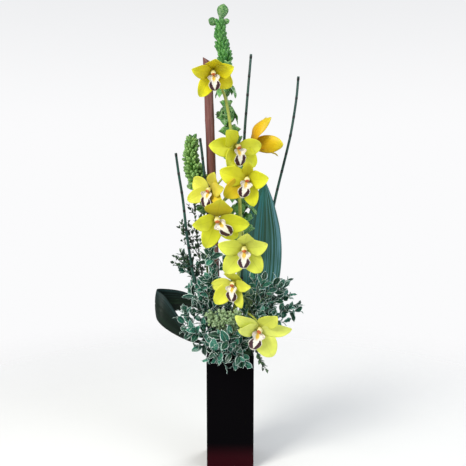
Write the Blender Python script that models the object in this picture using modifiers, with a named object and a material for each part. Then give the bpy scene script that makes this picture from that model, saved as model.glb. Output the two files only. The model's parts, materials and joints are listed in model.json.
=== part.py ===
# A tall cut-flower arrangement: one cymbidium orchid spike with nine blooms, bells of Ireland,
# horsetail, a cane, aspidistra leaves, variegated pittosporum, dark twigs and berry sprays,
# all standing in foam in a square black glass vase.
# Metres, +Z up, +X to the right, +Y to the back. The origin is the centre of the vase's underside.

import math
import random

import bmesh
import bpy
from mathutils import Matrix, Vector
from mathutils.bvhtree import BVHTree

MM = 0.001
WELD = 0.00002

# Vase and foam
VASE_WIDTH = 0.100
VASE_HEIGHT = 0.250
VASE_WALL = 0.005
VASE_BASE = 0.012
VASE_EDGE_ROUND = 0.0015
FOAM_TOP = 0.262
FOAM_CHAMFER = 0.005
FIT_GAP = 0.0003
FOAM_GAP = 0.0015
HOLE_GAP = 0.0005
HOLE_SIDES = 5
CUTTER_OVERSHOOT = 0.010
STEM_DEPTH = 0.070
STEM_LIFT = 0.012

# Cane and horsetails
CANE_RADIUS = 0.0100
CANE_TOP_SLANT = 0.012
HORSETAIL_FOOT_RADIUS = 0.0033
HORSETAIL_TIP_RADIUS = 0.0025

# Orchid bloom, at size 1
TEPAL_LENGTH = 0.053
PETAL_WIDTH = 0.037
SEPAL_WIDTH = 0.036
TEPAL_ROOT = 0.003
PETAL_LIFT = 0.0028
LATERAL_LIFT = 0.0013
TEPAL_THICKNESS = 0.0009
RECEPTACLE_RADIUS = 0.0046
RECEPTACLE_BACK = 0.0030
RECEPTACLE_FRONT = 0.0042
COLUMN_LENGTH = 0.0155
COLUMN_RADIUS = 0.0042
LIP_LENGTH = 0.036
LIP_ROOT = (0.0, -0.0050, 0.0062)
LIP_THICKNESS = 0.0008
LIP_CLAW = 0.0030
SIDE_LOBES = 0.0145
SIDE_ROLL = 74
MIDDLE_LOBE = 0.0115
MIDDLE_ROLL = -24
SPIKE_RADIUS = 0.0042
PEDICEL_RADIUS = 0.0016

# Foliage
LEAF_THICKNESS = 0.0008
LEAF_ROOT = 0.0005
PETIOLE_RADIUS = 0.0030
BELL_THICKNESS = 0.0008
BERRY_RADIUS = 0.0028
CLEARANCE = 0.0006
CLEARANCE_OWN = 0.0002

MATERIALS = {
    "black_glass": ((0.010, 0.003, 0.004), 0.05),
    "wet_foam": ((0.030, 0.090, 0.035), 0.90),
    "cane_bark": ((0.160, 0.062, 0.050), 0.60),
    "horsetail_green": ((0.015, 0.055, 0.040), 0.45),
    "spike_green": ((0.330, 0.420, 0.080), 0.45),
    "orchid_yellow_green": ((0.580, 0.600, 0.030), 0.45),
    "orchid_lip_cream": ((0.800, 0.700, 0.500), 0.45),
    "bells_green": ((0.110, 0.270, 0.060), 0.50),
    "aspidistra_green": ((0.010, 0.060, 0.035), 0.35),
    "pittosporum_green": ((0.060, 0.170, 0.110), 0.45),
    "twig_green": ((0.025, 0.060, 0.030), 0.55),
    "berry_green": ((0.220, 0.330, 0.180), 0.50),
}


def clear_scene():
    for old in list(bpy.data.objects):
        bpy.data.objects.remove(old, do_unlink=True)


def make_material(name):
    color, roughness = MATERIALS[name]
    material = bpy.data.materials.new(name)
    material.use_nodes = True
    shader = material.node_tree.nodes["Principled BSDF"]
    shader.inputs["Base Color"].default_value = (*color, 1.0)
    shader.inputs["Roughness"].default_value = roughness
    shader.inputs["Metallic"].default_value = 0.0
    return material


def link(name, mesh, place=None):
    item = bpy.data.objects.new(name, mesh)
    bpy.context.scene.collection.objects.link(item)
    if place is not None:
        item.matrix_world = place
    return item


def move_to(item, collection):
    for user in list(item.users_collection):
        user.objects.unlink(item)
    collection.objects.link(item)


def remove(item):
    bpy.data.objects.remove(item, do_unlink=True)


def baked(item):
    # The object's evaluated shape as a plain mesh object of the same name and place.
    bpy.context.view_layer.update()
    depsgraph = bpy.context.evaluated_depsgraph_get()
    mesh = bpy.data.meshes.new_from_object(item.evaluated_get(depsgraph), depsgraph=depsgraph)
    result = link(item.name + "_baked", mesh, item.matrix_world.copy())
    remove(item)
    return result


def finish(item, name, material, smooth_angle=40):
    item.name = name
    item.data.name = name
    item.data.materials.clear()
    item.data.materials.append(material)
    item.data.shade_smooth()
    item.data.set_sharp_from_angle(angle=math.radians(smooth_angle))
    move_to(item, bpy.data.collections["orchid_arrangement"])
    return item


def fuse(name, pieces, material, solver="EXACT"):
    # Joins a node's overlapping pieces into one body by one Boolean union on their collection.
    others = bpy.data.collections.new(name + "_pieces")
    for piece in pieces[1:]:
        move_to(piece, others)
    bpy.context.scene.collection.children.link(others)
    union = pieces[0].modifiers.new("union", "BOOLEAN")
    union.operation = "UNION"
    union.operand_type = "COLLECTION"
    union.collection = others
    union.solver = solver
    result = baked(pieces[0])
    for piece in pieces[1:]:
        remove(piece)
    bpy.data.collections.remove(others)
    return finish(result, name, material)


def lerp(low, high, share):
    return low + (high - low) * share


def smoothstep(low, high, value):
    share = min(1.0, max(0.0, (value - low) / (high - low)))
    return share * share * (3 - 2 * share)


def through(points, steps):
    # A smooth curve through the route's own points, with a number of steps between each two.
    route = [Vector(point) for point in points]
    ends = [2 * route[0] - route[1], *route, 2 * route[-1] - route[-2]]
    result = []
    for index in range(len(route) - 1):
        before, start, stop, after = ends[index:index + 4]
        for step in range(steps):
            t = step / steps
            result.append(0.5 * (2 * start + (stop - before) * t
                                 + (2 * before - 5 * start + 4 * stop - after) * t * t
                                 + (3 * start - before - 3 * stop + after) * t * t * t))
    result.append(route[-1])
    return result


def tube(points, radii, resolution=1):
    # A round stem along the points, as a bevelled poly curve made a mesh, with welded end caps.
    curve = bpy.data.curves.new("stem", "CURVE")
    curve.dimensions = "3D"
    curve.bevel_depth = 1.0
    curve.bevel_resolution = resolution
    curve.use_fill_caps = True
    spline = curve.splines.new("POLY")
    spline.points.add(len(points) - 1)
    for index, point in enumerate(points):
        spline.points[index].co = (*point, 1.0)
        spline.points[index].radius = radii[index]
    result = baked(link("stem", curve))
    bpy.data.curves.remove(curve)
    weld = bmesh.new()
    weld.from_mesh(result.data)
    bmesh.ops.remove_doubles(weld, verts=weld.verts, dist=WELD)
    weld.to_mesh(result.data)
    weld.free()
    return result


def taper(count, start, stop):
    return [lerp(start, stop, index / (count - 1)) for index in range(count)]


def blade(across_steps, along_steps, shape, thickness, place=None):
    # An open sheet, shaped by a formula of across (-1 to 1) and along (0 to 1), given a thickness.
    sheet = bmesh.new()
    bmesh.ops.create_grid(sheet, x_segments=across_steps, y_segments=along_steps, size=1.0)
    for vertex in sheet.verts:
        vertex.co = shape(vertex.co.x, (vertex.co.y + 1) / 2)
    bmesh.ops.remove_doubles(sheet, verts=sheet.verts, dist=WELD)
    bmesh.ops.triangulate(sheet, faces=sheet.faces)
    mesh = bpy.data.meshes.new("blade")
    sheet.to_mesh(mesh)
    sheet.free()
    item = link("blade", mesh, place)
    shell = item.modifiers.new("thickness", "SOLIDIFY")
    shell.thickness = thickness
    shell.offset = 0.0
    return item


def arc(length, start, turn, along):
    # A strip that leaves its plane at the angle start and bends back by turn over its length.
    if abs(turn) < 0.001:
        return length * along * math.cos(start), length * along * math.sin(start), start
    angle = start - turn * along
    radius = length / turn
    return (radius * (math.sin(start) - math.sin(angle)),
            radius * (math.cos(angle) - math.cos(start)), angle)


# Vase and foam

def build_vase(material):
    bpy.ops.mesh.primitive_cube_add(size=1.0, location=(0, 0, VASE_HEIGHT / 2))
    vase = bpy.context.object
    vase.scale = (VASE_WIDTH, VASE_WIDTH, VASE_HEIGHT)
    bpy.ops.object.transform_apply(location=False, rotation=False, scale=True)
    inside = VASE_WIDTH - 2 * VASE_WALL
    depth = VASE_HEIGHT - VASE_BASE + CUTTER_OVERSHOOT
    bpy.ops.mesh.primitive_cube_add(size=1.0, location=(0, 0, VASE_BASE + depth / 2))
    cutter = bpy.context.object
    cutter.scale = (inside, inside, depth)
    bpy.ops.object.transform_apply(location=False, rotation=False, scale=True)
    hollow = vase.modifiers.new("hollow", "BOOLEAN")
    hollow.operation = "DIFFERENCE"
    hollow.object = cutter
    rounded = vase.modifiers.new("edges", "BEVEL")
    rounded.width = VASE_EDGE_ROUND
    rounded.segments = 1
    rounded.limit_method = "ANGLE"
    result = baked(vase)
    remove(cutter)
    return finish(result, "vase", material, 30)


def build_foam(material, stems):
    side = VASE_WIDTH - 2 * VASE_WALL - 2 * FOAM_GAP
    bottom = VASE_BASE + FIT_GAP
    bpy.ops.mesh.primitive_cube_add(size=1.0, location=(0, 0, (FOAM_TOP + bottom) / 2))
    foam = bpy.context.object
    foam.scale = (side, side, FOAM_TOP - bottom)
    bpy.ops.object.transform_apply(location=False, rotation=False, scale=True)
    block = bmesh.new()
    block.from_mesh(foam.data)
    rim = [edge for edge in block.edges if all(vertex.co.z > 0 for vertex in edge.verts)]
    bmesh.ops.bevel(block, geom=rim, offset=FOAM_CHAMFER, segments=1, affect="EDGES")
    block.to_mesh(foam.data)
    block.free()
    holes = bpy.data.collections.new("holes")
    bpy.context.scene.collection.children.link(holes)
    top = FOAM_TOP + CUTTER_OVERSHOOT
    bottom = FOAM_TOP - STEM_DEPTH - FIT_GAP
    for x, y, radius in stems:
        hole_radius = (radius + HOLE_GAP) / math.cos(math.pi / HOLE_SIDES)
        bpy.ops.mesh.primitive_cylinder_add(vertices=HOLE_SIDES, radius=hole_radius, depth=top - bottom,
                                            location=(x, y, (top + bottom) / 2))
        move_to(bpy.context.object, holes)
    cut = foam.modifiers.new("holes", "BOOLEAN")
    cut.operation = "DIFFERENCE"
    cut.operand_type = "COLLECTION"
    cut.collection = holes
    result = baked(foam)
    for cutter in list(holes.objects):
        remove(cutter)
    bpy.data.collections.remove(holes)
    return finish(result, "floral_foam", material, 30)


# Stems: each stands upright in its own hole in the foam and then bends along its route

def planted(foot, route):
    x, y = foot[0] * MM, foot[1] * MM
    low = [Vector((x, y, FOAM_TOP - STEM_DEPTH)), Vector((x, y, FOAM_TOP + STEM_LIFT))]
    return low + [Vector(point) * MM for point in route]


def planted_tube(foot, route, start, stop, steps, resolution=1):
    foot_point, *knots = planted(foot, route)
    points = [foot_point, *through(knots, steps)]
    return points, tube(points, taper(len(points), start, stop), resolution)


CANE_FOOT = (-29, 14)
CANE_TOP = (-47, 14, 872)


def build_cane(material):
    base = Vector((CANE_FOOT[0] * MM, CANE_FOOT[1] * MM, FOAM_TOP - STEM_DEPTH))
    bend = Vector((base.x, base.y, FOAM_TOP + STEM_LIFT))
    top = Vector(CANE_TOP) * MM
    cane = tube([base, bend, top], [CANE_RADIUS] * 3, resolution=4)
    for vertex in cane.data.vertices:
        if vertex.co.z > bend.z + CANE_RADIUS:
            vertex.co.z -= CANE_TOP_SLANT * (vertex.co.x - top.x + CANE_RADIUS) / (2 * CANE_RADIUS)
    return finish(cane, "cane", material)


HORSETAILS = {
    "horsetail_1": ((19, 16), [(26, 26, 420), (28, 28, 600), (30, 29, 701), (36, 30, 785), (44, 30, 880)]),
    "horsetail_2": ((38, 38), [(47, 60, 330), (64, 78, 400), (86, 78, 500), (98, 68, 566), (106, 64, 603),
                               (124, 58, 680), (133, 56, 724), (142, 52, 787), (146, 50, 836)]),
    "horsetail_3": ((-38, -22), [(-66, -8, 372), (-80, -2, 420), (-92, 0, 500), (-100, 0, 575),
                                 (-108, 0, 628), (-114, 0, 674)]),
    "horsetail_4": ((-38, 2), [(-42, 0, 420), (-48, -2, 560), (-58, -2, 665), (-63, -2, 705)]),
}


def build_horsetail(name, material):
    foot, route = HORSETAILS[name]
    points, item = planted_tube(foot, route, HORSETAIL_FOOT_RADIUS, HORSETAIL_TIP_RADIUS, steps=1)
    return finish(item, name, material)


# Orchid blooms: centre in mm; yaw (to the right), pitch (up) and roll (clockwise); size; share of the
# spike where the stalk leaves it; turn of the lip. Each bloom then gives its five tepals, in the order of
# TEPALS: the angle round the face clockwise from the top, the lean forward (cup), the bend back over its
# length (curl), and its length and width as shares of the usual ones.
BLOOMS = {
    "bloom_1": ((-34, -54, 837), (6, -26, -2), 1.00, 1.00, -5, [
        (5, 30, -35, 1.00, 1.00), (75, 40, 25, 0.90, 0.90), (-80, 40, 25, 0.95, 0.80),
        (130, 20, 25, 0.95, 1.00), (-150, 25, 25, 1.10, 0.90)]),
    "bloom_2": ((12, -58, 689), (25, -8, -15), 1.08, 0.70, 10, [
        (-30, 30, 0, 0.95, 0.95), (110, 20, 25, 0.95, 0.90), (-80, 10, 25, 1.05, 1.00),
        (150, 25, 25, 1.05, 1.00), (-140, 25, 25, 0.85, 0.90)]),
    "bloom_3": ((44, -4, 691), (95, 10, 38), 1.35, 0.60, 0, [
        (-15, 10, -65, 1.05, 0.85), (70, 65, 5, 0.95, 1.00), (-80, -5, -90, 1.10, 1.10),
        (140, 65, 5, 0.90, 1.00), (-140, 60, 5, 1.05, 1.15)]),
    "bloom_4": ((34, -80, 626), (0, -16, -4), 1.04, 0.62, 20, [
        (5, 30, -20, 1.00, 0.60), (90, 45, 25, 0.90, 1.00), (-75, 15, 25, 1.05, 1.10),
        (170, 25, 25, 1.10, 0.85), (-125, 20, 25, 1.10, 1.05)]),
    "bloom_5": ((-39, -58, 602), (-25, -8, 20), 1.02, 0.55, -10, [
        (10, 30, 0, 0.95, 0.70), (65, 45, 25, 0.95, 0.80), (-95, 0, 25, 0.90, 1.00),
        (100, 45, 25, 0.90, 0.80), (-135, 25, 25, 1.05, 0.80)]),
    "bloom_6": ((-26, -98, 548), (4, -18, -4), 1.14, 0.46, -40, [
        (10, 20, -25, 1.00, 1.35), (110, 20, 25, 1.10, 0.95), (-95, 45, 25, 0.95, 0.85),
        (140, 20, 25, 1.00, 0.90), (-155, 25, 25, 1.10, 0.95)]),
    "bloom_7": ((28, -116, 492), (0, -18, 2), 1.08, 0.34, 0, [
        (5, 30, -20, 1.00, 0.90), (75, 35, 25, 0.90, 0.90), (-85, 25, 25, 0.95, 0.90),
        (145, 25, 25, 1.10, 1.05), (-145, 25, 25, 1.15, 1.10)]),
    "bloom_8": ((8, -66, 411), (-18, -10, 2), 1.02, 0.22, 0, [
        (10, 35, -20, 1.00, 1.05), (90, 45, 25, 0.95, 0.70), (-105, 20, 25, 0.90, 0.85),
        (160, 25, 25, 1.05, 0.70), (-140, 25, 25, 1.15, 0.95)]),
    "bloom_9": ((58, -114, 328), (2, -10, 45), 1.14, 0.08, -25, [
        (-5, 30, -10, 1.00, 0.90), (50, 20, 25, 1.10, 0.65), (-105, 30, 25, 1.05, 0.70),
        (110, 25, 25, 1.10, 1.10), (-125, 45, 25, 0.85, 0.70)]),
}
HALF_OPEN = ["bloom_3"]

# The lip's tilt at its root and the angle that it arches over; a half-open bloom keeps it straight.
LIP_TILT = 30
LIP_ARCH = 85
LIP_TILT_HALF_OPEN = 6
LIP_ARCH_HALF_OPEN = 14
LIP_SIZE_HALF_OPEN = 0.42
PETAL_SICKLE = 0.10
WIDTH_HALF_OPEN = 0.69

# What each of the five tepals is, and how far its root is raised so that their sheets don't meet
TEPALS = [("sepal", 0.0), ("petal", PETAL_LIFT), ("petal", PETAL_LIFT), ("sepal", 0.0),
          ("sepal", LATERAL_LIFT)]

SPIKE_FOOT = (2, -6)
SPIKE_ROUTE = [(12, -18, 364), (21, -24, 473), (20, -24, 578), (13, -22, 650), (2, -20, 721),
               (-8, -20, 780), (-22, -30, 818)]


def bloom_place(name):
    centre, face, size = BLOOMS[name][:3]
    yaw, pitch, roll = (math.radians(angle) for angle in face)
    turned = (Matrix.Rotation(yaw, 4, "Z") @ Matrix.Rotation(-pitch, 4, "X")
              @ Matrix.Rotation(math.radians(90), 4, "X") @ Matrix.Rotation(-roll, 4, "Z"))
    return Matrix.Translation(Vector(centre) * MM) @ turned @ Matrix.Scale(size, 4)


def tepal_shape(length, width, cup, curl, sickle, rise):
    def shape(across, along):
        half = 0.5 * width * (0.07 * (1 - along) ** 4 + math.sin(math.pi * along ** 0.90) ** 0.66)
        out, lift, angle = arc(length - TEPAL_ROOT, cup, curl, along)
        trough = 0.34 * half * across * across * along
        return Vector((half * across + sickle * length * along * along,
                       TEPAL_ROOT + out - trough * math.sin(angle), rise + lift + trough * math.cos(angle)))
    return shape


def lip_shape(start, arch):
    # Two side lobes rolled up beside the column, then a middle lobe that arches forward and down.
    radius = LIP_LENGTH / arch

    def shape(across, along):
        angle = start + arch * along
        middle = Vector(LIP_ROOT) + radius * Vector((0, math.cos(angle) - math.cos(start),
                                                     math.sin(angle) - math.sin(start)))
        side_lobes = SIDE_LOBES * math.exp(-((along - 0.25) / 0.17) ** 2)
        middle_lobe = MIDDLE_LOBE * max(0.0, 1 - ((along - 0.62) / 0.38) ** 2) ** 0.62
        half = max(side_lobes * (1 - smoothstep(0.40, 0.80, along)), middle_lobe) + LIP_CLAW * (1 - along) ** 2
        roll = math.radians(lerp(SIDE_ROLL, MIDDLE_ROLL, smoothstep(0.28, 0.74, along)))
        sideways = half * math.sin(roll * across) / roll
        raised = half * (1 - math.cos(roll * across)) / roll
        return middle + Vector((sideways, raised * math.cos(angle), raised * math.sin(angle)))
    return shape


def build_receptacle(place):
    # A short five-sided post with a side for each tepal.
    height = RECEPTACLE_BACK + RECEPTACLE_FRONT
    bpy.ops.mesh.primitive_cylinder_add(vertices=5, radius=RECEPTACLE_RADIUS / math.cos(math.pi / 5),
                                        depth=height)
    receptacle = bpy.context.object
    receptacle.matrix_world = (place @ Matrix.Translation((0, 0, height / 2 - RECEPTACLE_BACK))
                               @ Matrix.Rotation(math.radians(36), 4, "Z"))
    return receptacle


def build_bloom(name, petal_material, lip_material):
    place = bloom_place(name)
    half_open = name in HALF_OPEN
    lip_turn, tepals = BLOOMS[name][4:6]
    pieces = [build_receptacle(place)]
    for (kind, rise), (turn, cup, curl, longer, wider) in zip(TEPALS, tepals):
        petal = kind == "petal"
        width = wider * (PETAL_WIDTH if petal else SEPAL_WIDTH)
        if half_open:
            width *= WIDTH_HALF_OPEN
        sickle = math.copysign(PETAL_SICKLE, -turn) if petal else 0.0
        spot = place @ Matrix.Rotation(math.radians(-turn), 4, "Z")
        shape = tepal_shape(longer * TEPAL_LENGTH, width, math.radians(cup), math.radians(curl), sickle, rise)
        pieces.append(blade(2, 4, shape, TEPAL_THICKNESS, spot))
    column = [Vector((0, 0, -0.001)), Vector((0, 0.0012, 0.3 * COLUMN_LENGTH)),
              Vector((0, 0.0014, 0.7 * COLUMN_LENGTH)), Vector((0, 0, COLUMN_LENGTH))]
    post = tube(column, [0.8 * COLUMN_RADIUS, 0.8 * COLUMN_RADIUS, COLUMN_RADIUS, 1.1 * COLUMN_RADIUS], 0)
    post.matrix_world = place
    pieces.append(post)
    tepals = fuse(name + "_tepals", pieces, petal_material)
    if half_open:
        tilt, arch, lip_size = LIP_TILT_HALF_OPEN, LIP_ARCH_HALF_OPEN, LIP_SIZE_HALF_OPEN
    else:
        tilt, arch, lip_size = LIP_TILT, LIP_ARCH, 1.0
    root = Vector(LIP_ROOT)
    spot = (place @ Matrix.Rotation(math.radians(-lip_turn), 4, "Z") @ Matrix.Translation(root)
            @ Matrix.Scale(lip_size, 4) @ Matrix.Translation(-root))
    lip = baked(blade(4, 5, lip_shape(math.radians(tilt), math.radians(arch)), LIP_THICKNESS, spot))
    return tepals, finish(lip, name + "_lip", lip_material)


def build_spike(material):
    # Each flower stalk leaves the spike upward and turns to meet the back of its bloom.
    points, stem = planted_tube(SPIKE_FOOT, SPIKE_ROUTE, SPIKE_RADIUS, 0.7 * SPIKE_RADIUS, steps=2)
    pieces = [stem]
    free = points[1:]
    for name in BLOOMS:
        share = BLOOMS[name][3]
        place = bloom_place(name)
        back = (place.to_3x3() @ Vector((0, 0, -1))).normalized()
        end = place @ Vector((0, 0, -RECEPTACLE_BACK)) + back * FIT_GAP * 2
        spot = share * (len(free) - 1)
        low = min(int(spot), len(free) - 2)
        start = free[low].lerp(free[low + 1], spot - low)
        reach = (end - start).length
        side = end + back * 0.35 * reach
        rise = start + Vector((0, 0, 0.25 * reach)) if share < 1 else start.lerp(side, 0.3)
        stalk = [start, rise.lerp(side, 0.5), side.lerp(end, 0.35), end]
        pieces.append(tube(stalk, taper(len(stalk), PEDICEL_RADIUS, 1.6 * PEDICEL_RADIUS), 0))
    return fuse("orchid_spike", pieces, material)


# Bells of Ireland: a stalk with whorls of cup-shaped bells, narrow and close near the tip

# Each bell is set by its length, the radius of its mouth and how far it leans from the stem.
BELL_OPEN = {"length": 0.027, "mouth": 0.0100, "lean": 0.90, "sides": 6}
BELL_YOUNG = {"length": 0.024, "mouth": 0.0042, "lean": 0.50, "sides": 4}

# Foot and route in mm, stem radius at foot and tip
BELL_STALKS = {
    "bells_stalk_main": ((-4, 26), [(4, 22, 400), (22, 18, 500), (24, 18, 551), (14, 24, 637), (4, 30, 701),
                                    (-5, 30, 743), (-8, 30, 790), (-9, 30, 862), (-18, 30, 905),
                                    (-21, 30, 944)], 0.0032, 0.0022),
    "bells_stalk_left": ((-40, 26), [(-50, 26, 420), (-58, 24, 560), (-72, 21, 622), (-83, 20, 660),
                                     (-80, 20, 700), (-66, 20, 726)], 0.0026, 0.0014),
}

# For each stalk: its seed; the stretches that carry bells, by kind, first and last height in mm,
# spacing of the whorls in mm and bells a whorl; the bracts on its tip, by direction, length and width
BELLS = {
    "bells_stalk_main": (11, [(BELL_OPEN, 500, 560, 28, 3), (BELL_OPEN, 640, 720, 28, 3),
                              (BELL_OPEN, 722, 835, 25, 3), (BELL_YOUNG, 840, 926, 19, 4)],
                         [((0.15, -0.1, 1.0), 0.033, 0.026), ((-1.0, -0.1, 0.30), 0.024, 0.020),
                          ((0.9, -0.3, 0.45), 0.018, 0.011)]),
    "bells_stalk_left": (23, [(BELL_YOUNG, 618, 708, 20, 4)], [((0.3, -0.2, 1.0), 0.018, 0.010)]),
}


BRACT_CURL = 0.4


def bell(kind, scale, place):
    # A cup: a profile turned round the bell's own axis, open at the mouth.
    length, mouth = scale * kind["length"], scale * kind["mouth"]
    profile = bmesh.new()
    rim = profile.verts.new((mouth, 0, length))
    root = profile.verts.new((0, 0, -0.03 * length))
    profile.edges.new((rim, root))
    mesh = bpy.data.meshes.new("bell")
    profile.to_mesh(mesh)
    profile.free()
    item = link("bell", mesh, place)
    turned = item.modifiers.new("turned", "SCREW")
    turned.steps = kind["sides"]
    turned.render_steps = kind["sides"]
    turned.use_merge_vertices = True
    turned.merge_threshold = 0.00005
    shell = item.modifiers.new("thickness", "SOLIDIFY")
    shell.thickness = BELL_THICKNESS
    shell.offset = 0.0
    return item


def direction_at(points, index):
    before = points[max(0, index - 1)]
    after = points[min(len(points) - 1, index + 1)]
    return (after - before).normalized()


def aim(position, direction, spin=0.0):
    # A place whose +Z looks along the direction.
    turn = direction.to_track_quat("Z", "Y").to_matrix().to_4x4()
    return Matrix.Translation(position) @ turn @ Matrix.Rotation(spin, 4, "Z")


def lay(position, direction, upward):
    # A place whose +Y runs along the direction and whose +Z faces upward as far as it can.
    side = direction.cross(upward).normalized()
    face = side.cross(direction).normalized()
    turn = Matrix((side, direction, face)).transposed().to_4x4()
    return Matrix.Translation(position) @ turn


def walk(points, start, spacing):
    # Evenly spaced places along a route, with the route's direction and the share walked at each.
    lengths = [0.0]
    for low, high in zip(points, points[1:]):
        lengths.append(lengths[-1] + (high - low).length)
    position = start * lengths[-1]
    while position < lengths[-1]:
        index = max(i for i in range(len(lengths) - 1) if lengths[i] <= position)
        share = (position - lengths[index]) / (lengths[index + 1] - lengths[index])
        spot = points[index].lerp(points[index + 1], share)
        yield spot, direction_at(points, index), position / lengths[-1]
        position += spacing


def set_off(spot, direction, turn, lean, depth):
    # A root just under a stem's surface, and a direction that leans away from the stem there.
    side = Matrix.Rotation(turn, 3, direction) @ direction.orthogonal().normalized()
    out = (direction * math.cos(lean) + side * math.sin(lean)).normalized()
    return spot + side * depth, out


def surface(item):
    bpy.context.view_layer.update()
    depsgraph = bpy.context.evaluated_depsgraph_get()
    shown = item.evaluated_get(depsgraph)
    mesh = shown.to_mesh()
    corners = [item.matrix_world @ vertex.co for vertex in mesh.vertices]
    faces = [list(face.vertices) for face in mesh.polygons]
    shown.to_mesh_clear()
    return corners, BVHTree.FromPolygons(corners, faces)


def clear_of(item, trees, gap):
    corners, tree = surface(item)
    for other in trees:
        if other.overlap(tree):
            return False
        if any(other.find_nearest(corner, gap)[0] is not None for corner in corners):
            return False
    return True


def place_clear(make, places, trees, own, pieces):
    # Keeps the first of a piece's possible places that is clear of the other nodes and its own kind.
    for place in places:
        item = make(place)
        if clear_of(item, trees, CLEARANCE) and clear_of(item, own, CLEARANCE_OWN):
            pieces.append(item)
            own.append(surface(item)[1])
            return True
        remove(item)
    return False


def build_bells(name, lines, pieces, trees, material):
    points, own = lines[0], []
    foot, route, low, high = BELL_STALKS[name]
    seed, stretches, crown = BELLS[name]
    draw = random.Random(seed)
    ahead = direction_at(points, len(points) - 1)
    for direction, length, width in crown:
        out = Vector(direction).normalized()
        aside = out - ahead * out.dot(ahead)
        root = points[-1] + (0.6 * aside - 0.5 * ahead) * high
        place_clear(lambda place: blade(1, 3, leaf_shape(length, width, BRACT_CURL), LEAF_THICKNESS, place),
                    [lay(root, out, Vector((0, -1, 0)))], trees, own, pieces)
    for kind, bottom, top, spacing, count in stretches:
        whorls = [station for station in walk(points, 0.0, spacing * MM)
                  if bottom <= station[0].z / MM <= top]
        for number, (spot, direction, share) in enumerate(whorls):
            for slot in range(count):
                turn = math.tau * slot / count + number * math.pi / count + draw.uniform(-0.2, 0.2)
                scale = draw.uniform(0.9, 1.1)
                lean = kind["lean"] * draw.uniform(0.85, 1.15)
                places = [set_off(spot, direction, turn + swing, lean, 0.7 * lerp(low, high, share))
                          for swing in (0.0, 0.3, -0.3)]
                places = [aim(root, out, turn) for root, out in places]
                place_clear(lambda place: bell(kind, scale, place), places, trees, own, pieces)
    return fuse(name, pieces, material)


# Aspidistra leaves: a petiole in the foam and a broad blade along its own route

# Each station of a blade: centre in mm, half width in mm, direction of the blade's width
TALL_LEAF_FOOT = (24, 36)
TALL_LEAF = [
    ((33, 42, 300), 3.0, (1.0, 0.10, -0.20)),
    ((48, 46, 335), 24.0, (1.0, 0.14, -0.30)),
    ((61, 52, 382), 43.0, (1.0, 0.14, -0.20)),
    ((66, 58, 440), 48.0, (1.0, 0.14, -0.08)),
    ((69, 58, 500), 42.0, (1.0, 0.12, 0.0)),
    ((72, 56, 560), 25.0, (1.0, 0.10, 0.0)),
    ((74, 52, 596), 10.0, (1.0, 0.06, 0.0)),
    ((75, 50, 614), 0.0, (1.0, 0.0, 0.0)),
]
LOOPED_LEAF_FOOT = (-41, -10)
LOOPED_LEAF = [
    ((-58, -14, 268), 3.0, (0.60, 0.0, 0.80)),
    ((-84, -16, 278), 7.0, (0.50, 0.0, 0.85)),
    ((-116, -14, 306), 18.0, (0.45, 0.10, 0.90)),
    ((-146, -6, 338), 29.0, (0.25, 0.10, 0.96)),
    ((-162, 14, 349), 30.0, (0.0, 0.0, 1.0)),
    ((-142, 34, 350), 27.0, (-0.10, 0.0, 1.0)),
    ((-104, 42, 349), 20.0, (-0.10, 0.10, 1.0)),
    ((-70, 46, 344), 9.0, (-0.10, 0.10, 1.0)),
    ((-56, 47, 342), 0.0, (-0.10, 0.10, 1.0)),
]


def spline_at(knots, along):
    # The value at a share of the way along evenly timed knots.
    ends = [2 * knots[0] - knots[1], *knots, 2 * knots[-1] - knots[-2]]
    position = along * (len(knots) - 1)
    index = min(int(position), len(knots) - 2)
    before, start, stop, after = ends[index:index + 4]
    t = position - index
    return 0.5 * (2 * start + (stop - before) * t + (2 * before - 5 * start + 4 * stop - after) * t * t
                  + (3 * start - before - 3 * stop + after) * t * t * t)


def ribbon_shape(stations, trough):
    centres = [Vector(centre) * MM for centre, half, side in stations]
    halves = [half * MM for centre, half, side in stations]
    sides = [Vector(side) for centre, half, side in stations]

    def shape(across, along):
        centre = spline_at(centres, along)
        ahead = spline_at(centres, min(1.0, along + 0.01)) - spline_at(centres, max(0.0, along - 0.01))
        side = spline_at(sides, along).normalized()
        half = max(0.0, spline_at(halves, along))
        face = side.cross(ahead).normalized()
        return centre + side * (half * across) + face * (trough * half * (across * across - 0.5))
    return shape


def build_aspidistra(name, material, foot, stations, trough, rows):
    start = Vector(stations[0][0])
    inside = Vector(stations[1][0]).lerp(start, 0.75)
    points, petiole = planted_tube(foot, [start, inside], PETIOLE_RADIUS, 0.7 * PETIOLE_RADIUS, steps=2)
    leaf = blade(4, rows, ribbon_shape(stations, trough), LEAF_THICKNESS)
    return fuse(name, [petiole, leaf], material)


# Small-leaved sprigs: a stem with leaves set round it in turn and a rosette at its tip

# For each kind: leaf length and width, spacing, where leaves start, lean, stem radius, blade rows
PITTOSPORUM = {"length": 0.026, "width": 0.015, "spacing": 0.0200, "start": 0.42, "lean": 1.05,
               "radius": 0.0016, "rows": 3, "crown": 2}
TWIG = {"length": 0.014, "width": 0.0055, "spacing": 0.0290, "start": 0.40, "lean": 0.85,
        "radius": 0.0013, "rows": 2, "crown": 2}
GOLDEN_TURN = 2.39996
CROWN_LEAN = 0.55
BRANCH_START = 0.3

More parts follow.
